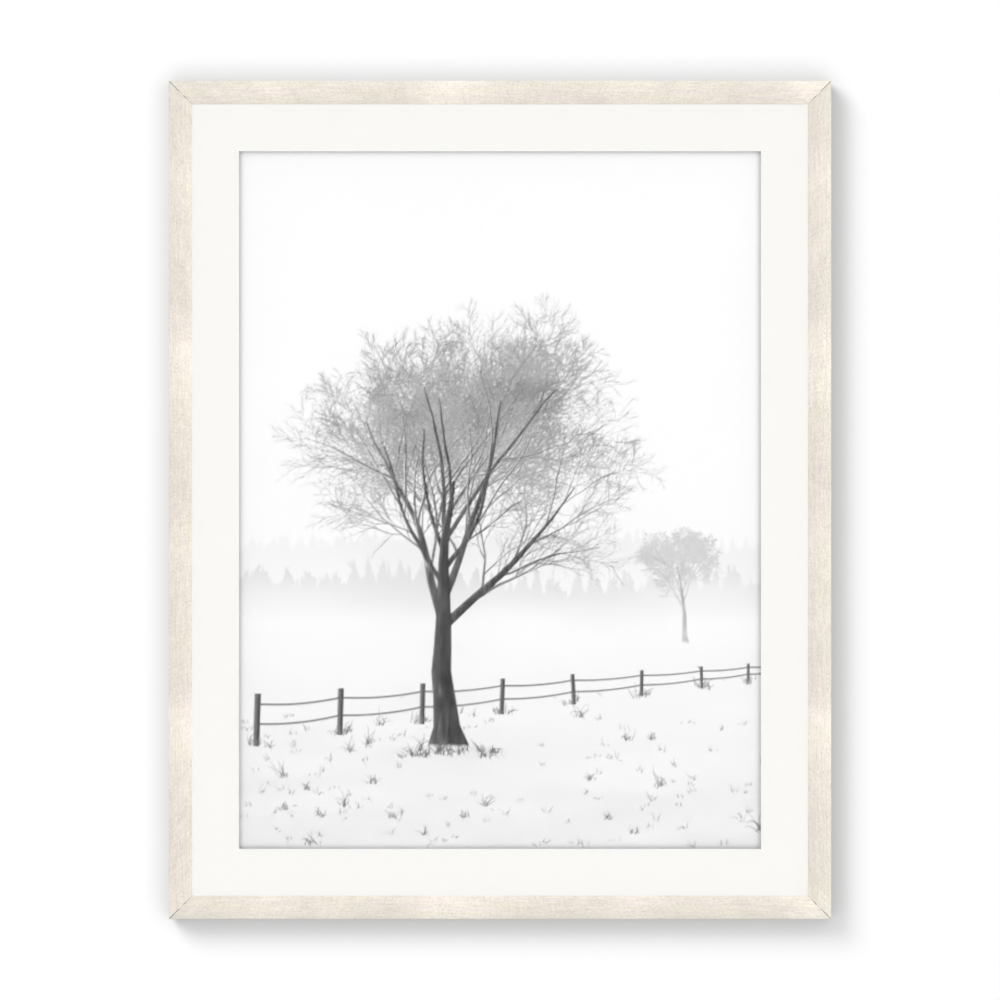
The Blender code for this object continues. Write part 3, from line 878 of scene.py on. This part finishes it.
def far_trees(rng, x, z, height, rise, tall, wide, dark, fog):
    """A far line of conifers as (cover, tone): a rolling ridge with a row of tops on it.

    A top is a cone whose height falls off from the middle of its cell. The tone pales
    towards the ground, where the fog is thickest.
    """
    ridge = height + rise * line_noise(rng, x, 0.17, 2)
    tops = np.zeros_like(x)
    for layer in range(3):
        cell = wide * (1 + 0.35 * layer)
        u = x / cell + rng.uniform(0, 1) + 0.25 * np.sin(x / cell * 0.7 + layer)
        index = np.floor(u).astype(int)
        index -= index.min()
        size = rng.uniform(0.25, 1.0, index.max() + 1)[index]
        lean = rng.uniform(-0.18, 0.18, index.max() + 1)[index]
        side = np.abs(u - np.floor(u) - 0.5 - lean) * 2
        tops = np.maximum(tops, tall * size * np.clip(1 - side, 0, 1) ** 0.8)
    jag = 0.16 * tall * lattice_noise(rng, x, z, wide / 9, tall / 9)
    cover = soft_step(ridge + tops + jag - z, 0.0016)
    depth = np.clip((z - HORIZON) / (height + tall - HORIZON), 0, 1)
    mist = fractal_noise(rng, x, z, 0.09, 0.03, 2)
    return cover, dark + (fog - dark) * np.clip(1.15 - 1.1 * depth + 0.25 * mist, 0, 1)


def fog_and_snow(rng, x, z):
    """The picture under its inks: bright fog, two far lines of trees and drifted snow."""
    tone = 0.998 - 0.010 * soft_step(-z - 0.02, 0.3)
    tone = tone + 0.003 * fractal_noise(rng, x, z, 0.16, 0.09, 3)
    for line in (
        (-0.052, 0.016, 0.020, 0.0075, 0.955, 0.996),
        (-0.088, 0.012, 0.030, 0.0110, 0.890, 0.993),
    ):
        cover, shade_tone = far_trees(rng, x, z, *line)
        tone = tone * (1 - cover) + shade_tone * cover
    edge = HORIZON + 0.006 * line_noise(rng, x, 0.22, 3)
    near = np.clip((edge - z) / (edge + IMAGE_HEIGHT / 2), 0, 1)
    drift = fractal_noise(rng, x, z - 0.05 * x, 0.10, 0.016, 4) * (0.35 + near)
    hollow = np.clip(fractal_noise(rng, x, z + 0.08 * x, 0.16, 0.022, 3) - 0.25, 0, 1)
    crust = fractal_noise(rng, x, z, 0.012, 0.003, 3)
    snow = 0.993 - 0.046 * near**0.8 + 0.020 * drift - 0.055 * hollow * near**0.5
    snow = snow + 0.012 * crust * near
    cover = soft_step(edge - z, 0.010)
    return tone * (1 - cover) + snow * cover


def fence_strokes(rng, posts=9):
    """A fence that runs off to the right: posts that shrink with distance, and two sagging
    rails, as a list of (points, widths, tone)."""
    near = np.linspace(0, 1, posts) ** 1.35
    size = 0.014 + 0.032 * near
    foot = np.stack([0.245 - 0.46 * near + rng.normal(0, 0.002, posts), -0.156 - 0.060 * near], 1)
    tip = foot + np.stack([rng.normal(0, 0.05, posts) * size, size], 1)
    t = np.linspace(0, 1, 5)
    uprights = foot[:, None] * (1 - t)[None, :, None] + tip[:, None] * t[None, :, None]
    strokes = [(uprights, np.repeat((0.0020 + 0.0034 * near)[:, None], 5, 1), 0.36)]
    knots = np.linspace(0, posts - 1, 400)
    index = np.minimum(knots.astype(int), posts - 2)
    part = (knots - index)[:, None]
    for level in (0.80, 0.42):
        held = foot + (tip - foot) * level
        path = held[index] * (1 - part) + held[index + 1] * part
        path[:, 1] -= 0.22 * size[index + 1] * (part * (1 - part))[:, 0]
        strokes.append((path[None], (0.0006 + 0.0012 * knots / (posts - 1))[None], 0.42))
    return strokes, foot


def sink_in_snow(plate, rng, x, z, ground):
    """Fades a plate's ink out below the snow line of what stands on it."""
    line = ground + 0.0025 * line_noise(rng, x, 0.012, 3)
    plate.cover *= soft_step(z - line, 0.004)


def snow_bank(tone, rng, x, z, place, wide, tall, top):
    """A low bank of snow over the tone: a bell with a ragged, softly shaded crest."""
    crest = place[1] + tall * np.exp(-(((x - place[0]) / wide) ** 2))
    crest = crest + 0.0022 * line_noise(rng, x, 0.014, 3)
    depth = np.clip((crest - z) / tall, 0, 3)
    near = np.exp(-(((x - place[0]) / (1.5 * wide)) ** 2))
    shade_tone = top - 0.075 * np.exp(-depth * 1.1) * near
    shade_tone = shade_tone + 0.012 * fractal_noise(rng, x, z, 0.03, 0.006, 3)
    cover = soft_step(crest - z, 0.003) * soft_step(z - place[1] + 0.035, 0.06) * near
    return tone * (1 - cover) + shade_tone * cover


def winter_scene(cell, shape, low):
    """The whole picture as display tones from 0 to 1, in rows from the bottom up."""
    rng = np.random.default_rng(SCENE_SEED)
    grain = np.random.default_rng(SCENE_SEED + 1)
    growth = np.random.default_rng(TREE_SEED)
    fine = cell / 2
    size = (shape[0] * 2, shape[1] * 2)
    x = (low[0] + (np.arange(size[1]) + 0.5) * fine)[None, :]
    z = (low[1] + (np.arange(size[0]) + 0.5) * fine)[:, None]
    tone = fog_and_snow(rng, x, z)

    plate = InkPlate(low, fine, size)
    tree = grow_tree(growth, SMALL_TREE_FOOT, 0.150, 0.0052, (8, 6, 6, 5, 4, 0))
    lay_tree(plate, tree, grain, 0.68, 0.84, 0.25)
    sink_in_snow(plate, rng, x, z, SMALL_TREE_SNOW)
    tone = plate.print_on(tone, 0.8)

    plate = InkPlate(low, fine, size)
    strokes, feet = fence_strokes(rng)
    for points, widths, dark in strokes:
        places, area, offset = stroke_samples(points, widths, plate.spacing)
        lit = dark + 0.40 * offset + grain.normal(0, 0.06, len(area))
        plate.lay(places, area, np.clip(lit, 0, 1))
    tone = plate.print_on(tone)

    plate = InkPlate(low, fine, size)
    tree = grow_tree(growth, TREE_FOOT, 0.520, 0.0235, (11, 8, 7, 6, 4, 0))
    lay_tree(plate, tree, grain, 0.24, 0.60, 0.42)
    sink_in_snow(plate, rng, x, z, TREE_SNOW)
    tone = plate.print_on(tone)
    tone = snow_bank(tone, rng, x, z, BANK, 0.045, 0.007, 0.955)

    plate = InkPlate(low, fine, size)
    spread = rng.uniform(0, 1, 150)
    spots = np.stack([rng.uniform(-0.24, 0.24, 150), -0.185 - 0.12 * spread**0.9], 1)
    beside = np.repeat(feet, 3, axis=0)
    beside = beside + rng.normal(0, 0.004, beside.shape) * np.array([1, 0.3])
    under = np.stack([rng.uniform(-0.085, -0.005, 16), rng.uniform(-0.226, -0.219, 16)], 1)
    for tufts, blades, long, dark in (
        (spots, 4, 0.0075, 0.56), (beside, 7, 0.012, 0.50),
        (spots[:26], 8, 0.016, 0.46), (under, 9, 0.015, 0.42),
    ):
        points, widths = grass_blades(rng, tufts, blades, long, 0.00055)
        places, area, offset = stroke_samples(points, widths, plate.spacing)
        plate.lay(places, area, np.clip(dark + grain.normal(0, 0.10, len(area)), 0, 1))
    tone = plate.print_on(tone)
    return np.clip(tone.reshape(shape[0], 2, shape[1], 2).mean((1, 3)), 0, 1)


def split_cells(tone, tolerance, block=16):
    """Cuts a raster of corner tones into square cells, smaller where the tone changes.

    Starts from squares of block cells and splits each into four while its tones differ by
    more than the tolerance, or LAST_SPLIT times that for the last split. Returns (size,
    rows, columns) for each size.
    """
    rows, columns = tone.shape[0] - 1, tone.shape[1] - 1
    todo = np.ones((rows // block, columns // block), bool)
    size = block
    found = []
    while True:
        if size == 1:
            found.append((1, *np.nonzero(todo)))
            return found
        tall, wide = rows // size, columns // size
        body = tone[:-1, :-1].reshape(tall, size, wide, size)
        high, low = body.max((1, 3)), body.min((1, 3))
        corner = tone[size::size, size::size]
        high, low = np.maximum(high, corner), np.minimum(low, corner)
        split = todo & (high - low > tolerance * (LAST_SPLIT if size == 2 else 1))
        found.append((size, *np.nonzero(todo & ~split)))
        todo = np.repeat(np.repeat(split, 2, 0), 2, 1)
        size //= 2


def cell_outline(size):
    """Steps round a square of the size, from its low corner, as (4 size, 2) of (row, column)."""
    k = np.arange(size)
    zero, full = np.zeros(size, int), np.full(size, size)
    down = np.concatenate([zero, k, full, size - k])
    right = np.concatenate([k, full, size - k, zero])
    return np.stack([down, right], 1)


def printed_sheet(sizes, material):
    """The print: a closed thin sheet whose front is cut into square cells, each with its
    neighbours' corners on its outline, and whose points carry the ink's tone.
    """
    block = 16
    width, height = 2 * BOARD_HALF_WIDTH, 2 * BOARD_HALF_HEIGHT
    columns = int(round(width / sizes.picture_cell / block)) * block
    rows = int(round(height / sizes.picture_cell / block)) * block
    step = np.array([width / columns, height / rows])
    low = (-BOARD_HALF_WIDTH - step[0] / 2, -BOARD_HALF_HEIGHT - step[1] / 2)
    tone = winter_scene(step.mean(), (rows + 1, columns + 1), low)
    x = -BOARD_HALF_WIDTH + step[0] * np.arange(columns + 1)[None, :]
    z = -BOARD_HALF_HEIGHT + step[1] * np.arange(rows + 1)[:, None]
    beyond = np.maximum(np.abs(x) - IMAGE_WIDTH / 2, np.abs(z) - IMAGE_HEIGHT / 2)
    tone = np.where(beyond > UNDER_MAT, 1.0, tone)

    cells = split_cells(tone, sizes.picture_tolerance, block)
    used = np.zeros(tone.shape, bool)
    for size, r, c in cells:
        for i in (0, 1):
            for k in (0, 1):
                used[(r + i) * size, (c + k) * size] = True
    number = np.full(tone.shape, -1)
    number[used] = np.arange(used.sum())
    corners, totals = [], []
    for size, r, c in cells:
        outline = cell_outline(size)
        at = number[r[:, None] * size + outline[:, 0], c[:, None] * size + outline[:, 1]]
        corners.append(at[at >= 0])
        totals.append((at >= 0).sum(1))
    row, column = np.nonzero(used)
    front = np.stack([x[0, column], np.full(len(row), PRINT_FRONT), z[row, 0]], 1)

    rim = rim_of(number)
    rim = rim[rim >= 0]
    back = front[rim] * (1, 0, 1) + (0, PRINT_BACK, 0)
    behind = len(front) + np.arange(len(rim))
    sides = np.stack([rim, behind, np.roll(behind, -1), np.roll(rim, -1)], 1).ravel()
    corners = np.concatenate([*corners, sides, behind])
    totals = np.concatenate([*totals, np.full(len(rim), 4), [len(rim)]])
    mesh = mesh_from("printed_sheet", np.concatenate([front, back]), corners, totals)
    set_values(mesh, "ink_tone", np.concatenate([tone[used] ** DISPLAY_GAMMA, np.ones(len(rim))]))

    points = np.concatenate([front, back])[corners]
    u = 0.005 + 0.985 * (points[:, 0] + BOARD_HALF_WIDTH) / height
    v = 0.005 + 0.985 * (points[:, 2] + BOARD_HALF_HEIGHT) / height
    on_front = np.arange(len(corners)) < len(corners) - len(sides) - len(behind)
    u = np.where(on_front, u, 0.80 + 0.18 * u)
    v = np.where(on_front, v, 0.02 + 0.18 * v)
    set_map(mesh, "OFBake", np.stack([u, v], 1))
    add_piece("printed_sheet", mesh, ["print_sheet"], material)


# ---------------------------------------------------------------- back


def dust_paper(sizes, material):
    """The dust cover: a thin closed sheet that cockles a little between its glued edges.

    The cockle is lattice noise times a window that is 0 over the rails, where the glue holds
    the paper flat, and 1 in the middle. The trimmed edge wavers by a fraction of a millimetre.
    """
    rng = np.random.default_rng(7)
    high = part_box("dust_cover")[1]
    columns, rows = 121, 153
    u = np.linspace(-1, 1, columns)[None, :]
    v = np.linspace(-1, 1, rows)[:, None]
    x = u * high[0] * np.ones_like(v)
    z = v * high[2] * np.ones_like(u)
    trim_x = 0.0003 * lattice_noise(rng, z, 0 * x, 0.05, 1) * np.sign(u) * (np.abs(u) == 1)
    trim_z = 0.0003 * lattice_noise(rng, x, 0 * z, 0.05, 1) * np.sign(v) * (np.abs(v) == 1)
    inside = np.minimum(BOARD_HALF_WIDTH - np.abs(x), BOARD_HALF_HEIGHT - np.abs(z))
    loose = soft_step(inside - 0.02, 0.05)
    cockle = fractal_noise(rng, x, z, 0.16, 0.11, 3)
    cockle = cockle + 0.5 * lattice_noise(rng, x + z, z - x, 0.09, 0.4)
    edge = soft_step(0.012 - np.abs(inside), 0.02) * lattice_noise(rng, x + z, x - z, 0.03, 0.03)
    wave = sizes.cover_cockle * (cockle * loose + 0.08 * edge)
    front = np.stack([x + trim_x, COVER_FRONT + wave, z + trim_z], -1).reshape(-1, 3)
    rear = front + np.array([0, COVER_BACK - COVER_FRONT, 0])
    faces = grid_faces(rows, columns).reshape(-1, 4)
    count = rows * columns
    index = np.arange(count).reshape(rows, columns)
    rim = rim_of(index)
    sides = np.stack([rim, rim + count, np.roll(rim, -1) + count, np.roll(rim, -1)], 1)
    corners = np.concatenate([faces[:, ::-1], faces + count, sides]).ravel()
    totals = np.full(len(corners) // 4, 4)
    mesh = mesh_from("dust_paper", np.concatenate([front, rear]), corners, totals)
    add_piece("dust_paper", mesh, ["dust_cover"], material, 40)


def eased_copy(node, name, width, material):
    """A copy of a packed node with its points merged and its sharp edges eased by a bevel."""
    shape = bmesh.new()
    shape.from_mesh(frame["nodes"][node].data)
    bmesh.ops.transform(shape, matrix=frame["nodes"][node].matrix_world, verts=shape.verts)
    bmesh.ops.remove_doubles(shape, verts=shape.verts, dist=1e-6)
    flat = math.radians(1.0)
    bmesh.ops.dissolve_limit(shape, angle_limit=flat, verts=shape.verts, edges=shape.edges)
    edges = [edge for edge in shape.edges if len(edge.link_faces) == 2]
    sharp = [edge for edge in edges if edge.calc_face_angle(0) > math.radians(35)]
    bmesh.ops.bevel(
        shape, geom=sharp, offset=width, offset_type="OFFSET", segments=2, profile=0.5,
        affect="EDGES", clamp_overlap=True,
    )
    mesh = bpy.data.meshes.new(name)
    shape.to_mesh(mesh)
    shape.free()
    add_piece(name, mesh, [node], material, 30)


def bumper_dome(side, material):
    """A soft bumper: a low dome with a flat end and a thin brim where it is stuck on."""
    low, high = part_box("bumper_" + side)
    centre = ((low[0] + high[0]) / 2, 0.0, (low[2] + high[2]) / 2)
    radius = (high[0] - low[0]) / 2
    flat = 0.0026
    brim = low[1] + 0.0004
    turn = np.linspace(0, math.pi / 2, 14)
    dome = np.stack([flat + (radius - flat) * np.cos(turn), brim * (1 - np.sin(turn))], 1)
    dish = np.array([(flat * 0.7, -0.00003), (flat * 0.35, -0.00006), (0.0, -0.00007)])
    foot = np.array([(0.0, low[1]), (radius * 0.98, low[1]), (radius, low[1] + 0.00006)])
    mesh = lathe("bumper_dome_" + side, np.concatenate([foot, dome, dish]), centre)
    add_piece("bumper_dome_" + side, mesh, ["bumper_" + side], material, 50)


# ---------------------------------------------------------------- studio


WALL_PLACE = 0.0006
WALL_REACH = 4.0
WALL_GLOW = 0.132
FLOOR_HEIGHT = -1.45
FLOOR_REACH = 40.0
SURROUND_SEEN = 0.93
CAMERA_LENS = 300.0
SENSOR = 36.0
VIEW_WIDTH = 0.8755


def flat_panel(name, corners, material):
    """One quad of the studio."""
    mesh = bpy.data.meshes.new(name)
    mesh.from_pydata(corners, [], [(0, 1, 2, 3)])
    mesh.materials.append(material)
    panel = bpy.data.objects.new(name, mesh)
    bpy.context.scene.collection.objects.link(panel)
    return panel


def wall_paint():
    """White wall, seen only from the front, so that the picture's back can be looked at."""
    f = Finish("wall_paint")
    paint = f.node("BsdfDiffuse", {"Color": (0.70, 0.70, 0.70)})
    lit = f.node("AddShader", {0: paint, 1: f.node("Emission", {"Strength": WALL_GLOW})})
    behind = f.node("NewGeometry", output="Backfacing")
    return f.surface(f.node("MixShader", {0: behind, 1: lit, 2: f.node("BsdfTransparent")}))


def pale_floor():
    """A pale floor that is nearly as bright far away as close by."""
    f = Finish("pale_floor")
    mottle = f.noise(f.position(), 3.0, 3.0)
    base = f.blend(mottle, (0.040, 0.040, 0.039), (0.045, 0.045, 0.044))
    glow = f.blend(mottle, (0.855, 0.853, 0.848), (0.870, 0.868, 0.863))
    f.material.cycles.emission_sampling = "NONE"
    return f.set(Base_Color=base, Roughness=0.7, Emission_Color=glow, Emission_Strength=1.0)


def area_light(name, place, target, watts, size, receivers=()):
    """A soft disc of light that the camera doesn't see, for every object or for some."""
    data = bpy.data.lights.new(name, "AREA")
    data.shape = "DISK"
    data.size = size
    data.energy = watts
    lamp = bpy.data.objects.new(name, data)
    lamp.location = place
    lamp.rotation_euler = (Vector(target) - Vector(place)).to_track_quat("-Z", "Y").to_euler()
    lamp.visible_camera = False
    bpy.context.scene.collection.objects.link(lamp)
    if receivers:
        lit = bpy.data.collections.new("lit_by_" + name)
        for piece in receivers:
            lit.objects.link(piece)
        lamp.light_linking.receiver_collection = lit


def studio_world(light, seen):
    """An even white surround: one strength for what it lights, another where it is seen."""
    world = bpy.data.worlds.new("studio_surround")
    world.use_nodes = True
    nodes, links = world.node_tree.nodes, world.node_tree.links
    pick = nodes.new("ShaderNodeMixShader")
    links.new(nodes.new("ShaderNodeLightPath").outputs["Is Camera Ray"], pick.inputs[0])
    for number, strength in enumerate((light, seen), 1):
        shade = nodes.new("ShaderNodeBackground")
        shade.inputs["Color"].default_value = (1.0, 1.0, 1.0, 1.0)
        shade.inputs["Strength"].default_value = strength
        links.new(shade.outputs[0], pick.inputs[number])
    nodes.remove(nodes["Background"])
    links.new(pick.outputs[0], nodes["World Output"].inputs["Surface"])
    bpy.context.scene.world = world


def square_camera():
    """A long lens square to the picture, as far off as its view of VIEW_WIDTH needs."""
    lens = bpy.data.cameras.new("camera")
    lens.lens = CAMERA_LENS
    lens.sensor_width = SENSOR
    lens.clip_end = 100.0
    camera = bpy.data.objects.new("camera", lens)
    camera.location = (0.0, RAIL_FRONT - VIEW_WIDTH * CAMERA_LENS / SENSOR, 0.0)
    camera.rotation_euler = (math.pi / 2, 0.0, 0.0)
    bpy.context.scene.collection.objects.link(camera)
    bpy.context.scene.camera = camera
    bpy.context.scene.view_settings.view_transform = "Standard"


def build_studio(studio):
    """The wall, the floor and the lights.

    The front light is one soft disc. The mat and the print have their own copy of it, which
    the moulding doesn't shade, so that the mat is evenly lit up to the moulding. The wall has
    two lights of its own: one from the upper left, and a broad one straight at it.
    """
    low, reach, y = FLOOR_HEIGHT, WALL_REACH, WALL_PLACE
    corners = [(-reach, y, low), (reach, y, low), (reach, y, reach), (-reach, y, reach)]
    wall = flat_panel("wall", corners, wall_paint())
    for kind in ("diffuse", "glossy", "transmission", "shadow", "volume_scatter"):
        setattr(wall, "visible_" + kind, False)
    reach = FLOOR_REACH
    corners = [(i * reach, k * reach, low) for i, k in ((-1, -1), (1, -1), (1, 1), (-1, 1))]
    floor = flat_panel("floor", corners, pale_floor())
    floor.visible_shadow = False
    floor.visible_diffuse = False

    package = [bpy.data.objects[name] for name in ("bevelled_mat", "printed_sheet")]
    apart = (floor, wall, *package)
    others = [obj for obj in bpy.context.scene.objects if obj.type == "MESH" and obj not in apart]
    rails = [obj for obj in others if obj.name != "glazing"]
    middle = (0, 0, 0)
    front = (0, -studio.front_distance, 0)
    disc = 2 * studio.front_distance * math.tan(studio.front_angle)
    inner_disc = 2 * studio.front_distance * math.tan(studio.inner_angle)
    fill = studio.wall_fill_place
    beyond = (fill[0], 0, fill[2])
    for name, place, target, watts, size, lit in (
        ("front_light", front, middle, studio.front_watts, disc, others),
        ("package_light", front, middle, studio.inner_watts, inner_disc, package),
        ("side_light_1", (-6.0, -0.5, 3.0), middle, studio.side_watts, 4.0, rails),
        ("side_light_2", (6.0, -0.5, 3.0), middle, studio.side_watts, 4.0, rails),
        ("back_light", (0.6, 3.2, 1.3), middle, studio.back_watts, 3.5, ()),
        ("wall_light", studio.wall_light_place, middle, studio.wall_watts, 6.5, [wall]),
        ("wall_fill", fill, beyond, studio.wall_fill_watts, 10.7, [wall]),
        ("floor_light", (0, 0, 12), middle, studio.floor_watts, 60.0, [floor]),
    ):
        area_light(name, place, target, watts, size, lit)
    linking = bpy.data.objects["package_light"].light_linking
    linking.blocker_collection = linking.receiver_collection
    for name in ("wall_light", "wall_fill"):
        bpy.data.lights[name].cycles.use_multiple_importance_sampling = False
    for side in SIDES:
        bpy.data.objects["moulding_" + side].visible_diffuse = False
    studio_world(studio.surround, SURROUND_SEEN)


# ---------------------------------------------------------------- settings


def metres(name, description, default):
    return FloatProperty(
        name=name, description=description, default=default, min=0.0, precision=6, unit="LENGTH"
    )


def fraction(name, description, default):
    return FloatProperty(
        name=name, description=description, default=default, min=0.0, max=1.0, subtype="FACTOR"
    )


def degrees(name, description, default):
    return FloatProperty(
        name=name, description=description, default=math.radians(default), subtype="ANGLE"
    )


def power(name, description, default):
    return FloatProperty(name=name, description=description, default=default, min=0.0, unit="POWER")


def location(name, description, default):
    return FloatVectorProperty(name=name, description=description, default=default, unit="LENGTH")


def tint(name, description, default):
    return FloatVectorProperty(
        name=name, description=description, default=default, min=0.0, max=1.0, subtype="COLOR"
    )


class FramedPrintSizes(bpy.types.PropertyGroup):
    """Sizes that a user would change."""

    brush_depth: metres("Brush depth", "Height of the brushed relief on the moulding", 0.00004)
    # How dark the painted shade at the open mitres is.
    joint_painted_shade: fraction("Joint painted shade", "How dark the open part of each mitre is", 0.38)
    picture_cell: metres("Picture cell", "Smallest cell of the printed picture", 0.00096)
    picture_tolerance: fraction("Picture tolerance", "Tone change above which a cell is split", 0.022)
    cover_cockle: metres("Cover cockle", "Height of the waves in the dust cover", 0.0007)


class FramedPrintColours(bpy.types.PropertyGroup):
    """Colours that a user would change."""

    wash_warm: tint("Warm wash", "Whitewash, warmer part", (0.782, 0.705, 0.648))
    wash_cool: tint("Cool wash", "Whitewash, cooler part", (0.762, 0.714, 0.608))
    wash_arris: tint("Arris wash", "Whitewash along the outer edge", (0.755, 0.716, 0.632))
    wash_thin: tint("Thin wash", "Where the wash is brushed thin", (0.60, 0.53, 0.45))
    bare_wood: tint("Bare wood", "Unpainted wood", (0.66, 0.48, 0.30))
    bare_wood_dark: tint("Bare wood rings", "Darker rings of the wood", (0.52, 0.35, 0.20))
    mat_face: tint("Mat", "Face of the mat", (0.8675, 0.8595, 0.8310))
    mat_core: tint("Mat core", "Core seen in the bevel", (0.94, 0.94, 0.935))
    # Near-black back of the mat, which deepens its shade on the print.
    mat_back_darkened_for_shade: tint("Mat back darkened for shade", "Dark paper on the back of the mat", (0.03, 0.03, 0.03))
    paper_white: tint("Paper", "White of the print's paper", (0.912, 0.912, 0.912))
    kraft_light: tint("Kraft light", "Light fibres", (0.48, 0.325, 0.195))
    kraft_dark: tint("Kraft dark", "Dark fibres", (0.36, 0.235, 0.135))
    kraft_strand: tint("Kraft strands", "Pale strands", (0.60, 0.44, 0.29))
    kraft_fleck: tint("Kraft fleck", "Dark flecks", (0.24, 0.15, 0.085))


class FramedPrintStudio(bpy.types.PropertyGroup):
    """The studio's lights."""

    front_distance: metres("Front distance", "From the wall to the front light", 6.0)
    front_angle: degrees("Front angle", "Half of the front light's spread", 38)
    inner_angle: degrees("Inner angle", "Half of the spread of the light on the mat and print", 46)
    front_watts: power("Front light", "Power of the front light", 467.0)
    inner_watts: power("Inner light", "Power of the light on the mat and the print", 634.0)
    side_watts: power("Side lights", "Power of each light on the moulding's sides", 250.0)
    back_watts: power("Back light", "Power of the light on the back", 120.0)
    floor_watts: power("Floor light", "Power of the light on the floor", 10500.0)
    wall_watts: power("Wall light", "Power of the light on the wall from the upper left", 758.0)
    wall_light_place: location("Wall light place", "Where that light stands", (-5.43, -8.0, 5.69))
    wall_fill_watts: power("Wall fill", "Power of the broad light on the wall", 478.0)
    wall_fill_place: location("Wall fill place", "Where the broad light stands", (0.49, -6.0, -0.99))
    surround: FloatProperty(
        name="Surround", description="Strength of the even surround", default=0.148, min=0.0
    )


# ---------------------------------------------------------------- operators


class FRAMED_OT_moulding(bpy.types.Operator):
    """Four mitred rails with brushed whitewash, and the filler in their mitres"""

    bl_idname = "framed.moulding"
    bl_label = "Moulding"

    def execute(self, context):
        scene = context.scene
        wood = whitewashed_wood(scene.framed_print_colours)
        for index, side in enumerate(SIDES):
            finished_rail(side, index, scene.framed_print_sizes, wood)
        filler = joint_filler(scene.framed_print_colours)
        for number, corner in enumerate(((-1, 1), (1, 1), (1, -1), (-1, -1)), 1):
            mitre_filler(corner, number, filler)
        return {"FINISHED"}


class FRAMED_OT_mat(bpy.types.Operator):
    """The mat with its bevelled window"""

    bl_idname = "framed.mat"
    bl_label = "Mat"

    def execute(self, context):
        bevelled_mat(mat_paper(context.scene.framed_print_colours))
        return {"FINISHED"}


class FRAMED_OT_picture(bpy.types.Operator):
    """The printed winter picture on its sheet"""

    bl_idname = "framed.picture"
    bl_label = "Picture"

    def execute(self, context):
        scene = context.scene
        printed_sheet(scene.framed_print_sizes, print_paper(scene.framed_print_colours))
        return {"FINISHED"}


class FRAMED_OT_glazing(bpy.types.Operator):
    """The clear glazing"""

    bl_idname = "framed.glazing"
    bl_label = "Glazing"

    def execute(self, context):
        give(["glazing"], clear_glazing())
        return {"FINISHED"}


class FRAMED_OT_backing(bpy.types.Operator):
    """Boards, steel points, V-nails and the dust cover"""

    bl_idname = "framed.backing"
    bl_label = "Backing"

    def execute(self, context):
        scene = context.scene
        give(["mat_spacer", "backing_board"], foam_board())
        driven = [name for name in frame["nodes"] if name.startswith(("point_", "v_nail_"))]
        give(driven, point_steel())
        dust_paper(scene.framed_print_sizes, kraft_paper(scene.framed_print_colours))
        return {"FINISHED"}


class FRAMED_OT_hardware(bpy.types.Operator):
    """Sawtooth hangers, their screws and the bumpers"""

    bl_idname = "framed.hardware"
    bl_label = "Hardware"

    def execute(self, context):
        zinc = zinc_steel()
        for side in ("left", "right"):
            eased_copy("hanger_" + side, "hanger_plate_" + side, 0.00012, zinc)
        for number in range(1, 5):
            eased_copy(f"hanger_screw_{number}", f"pan_head_screw_{number}", 0.00008, zinc)
        rubber = soft_rubber()
        for side in ("left", "right"):
            bumper_dome(side, rubber)
        return {"FINISHED"}


class FRAMED_OT_studio(bpy.types.Operator):
    """The wall, the floor, the lights and the camera"""

    bl_idname = "framed.studio"
    bl_label = "Studio"

    def execute(self, context):
        build_studio(context.scene.framed_print_studio)
        square_camera()
        return {"FINISHED"}


OPERATORS = (
    FRAMED_OT_moulding,
    FRAMED_OT_mat,
    FRAMED_OT_picture,
    FRAMED_OT_glazing,
    FRAMED_OT_backing,
    FRAMED_OT_hardware,
    FRAMED_OT_studio,
)
GROUPS = {
    "framed_print_sizes": FramedPrintSizes,
    "framed_print_colours": FramedPrintColours,
    "framed_print_studio": FramedPrintStudio,
}


class FRAMED_PT_panel(bpy.types.Panel):
    """The sidebar panel that lists the pieces and their settings"""

    bl_idname = "FRAMED_PT_panel"
    bl_label = "Framed print"
    bl_space_type = "VIEW_3D"
    bl_region_type = "UI"
    bl_category = "Framed print"

    def draw(self, context):
        layout = self.layout
        for operator in OPERATORS:
            layout.operator(operator.bl_idname)
        for name, group in GROUPS.items():
            box = layout.box()
            box.label(text=group.__doc__)
            for field in group.__annotations__:
                box.prop(getattr(context.scene, name), field)


def register():
    for group in GROUPS.values():
        bpy.utils.register_class(group)
    for operator in OPERATORS:
        bpy.utils.register_class(operator)
    bpy.utils.register_class(FRAMED_PT_panel)
    for name, group in GROUPS.items():
        setattr(bpy.types.Scene, name, PointerProperty(type=group))


def unregister():
    for name in GROUPS:
        delattr(bpy.types.Scene, name)
    bpy.utils.unregister_class(FRAMED_PT_panel)
    for operator in reversed(OPERATORS):
        bpy.utils.unregister_class(operator)
    for group in reversed(GROUPS.values()):
        bpy.utils.unregister_class(group)


def main():
    register()
    for operator in OPERATORS:
        group, call = operator.bl_idname.split(".")
        getattr(getattr(bpy.ops, group), call)()


if __name__ == "__main__":
    main()
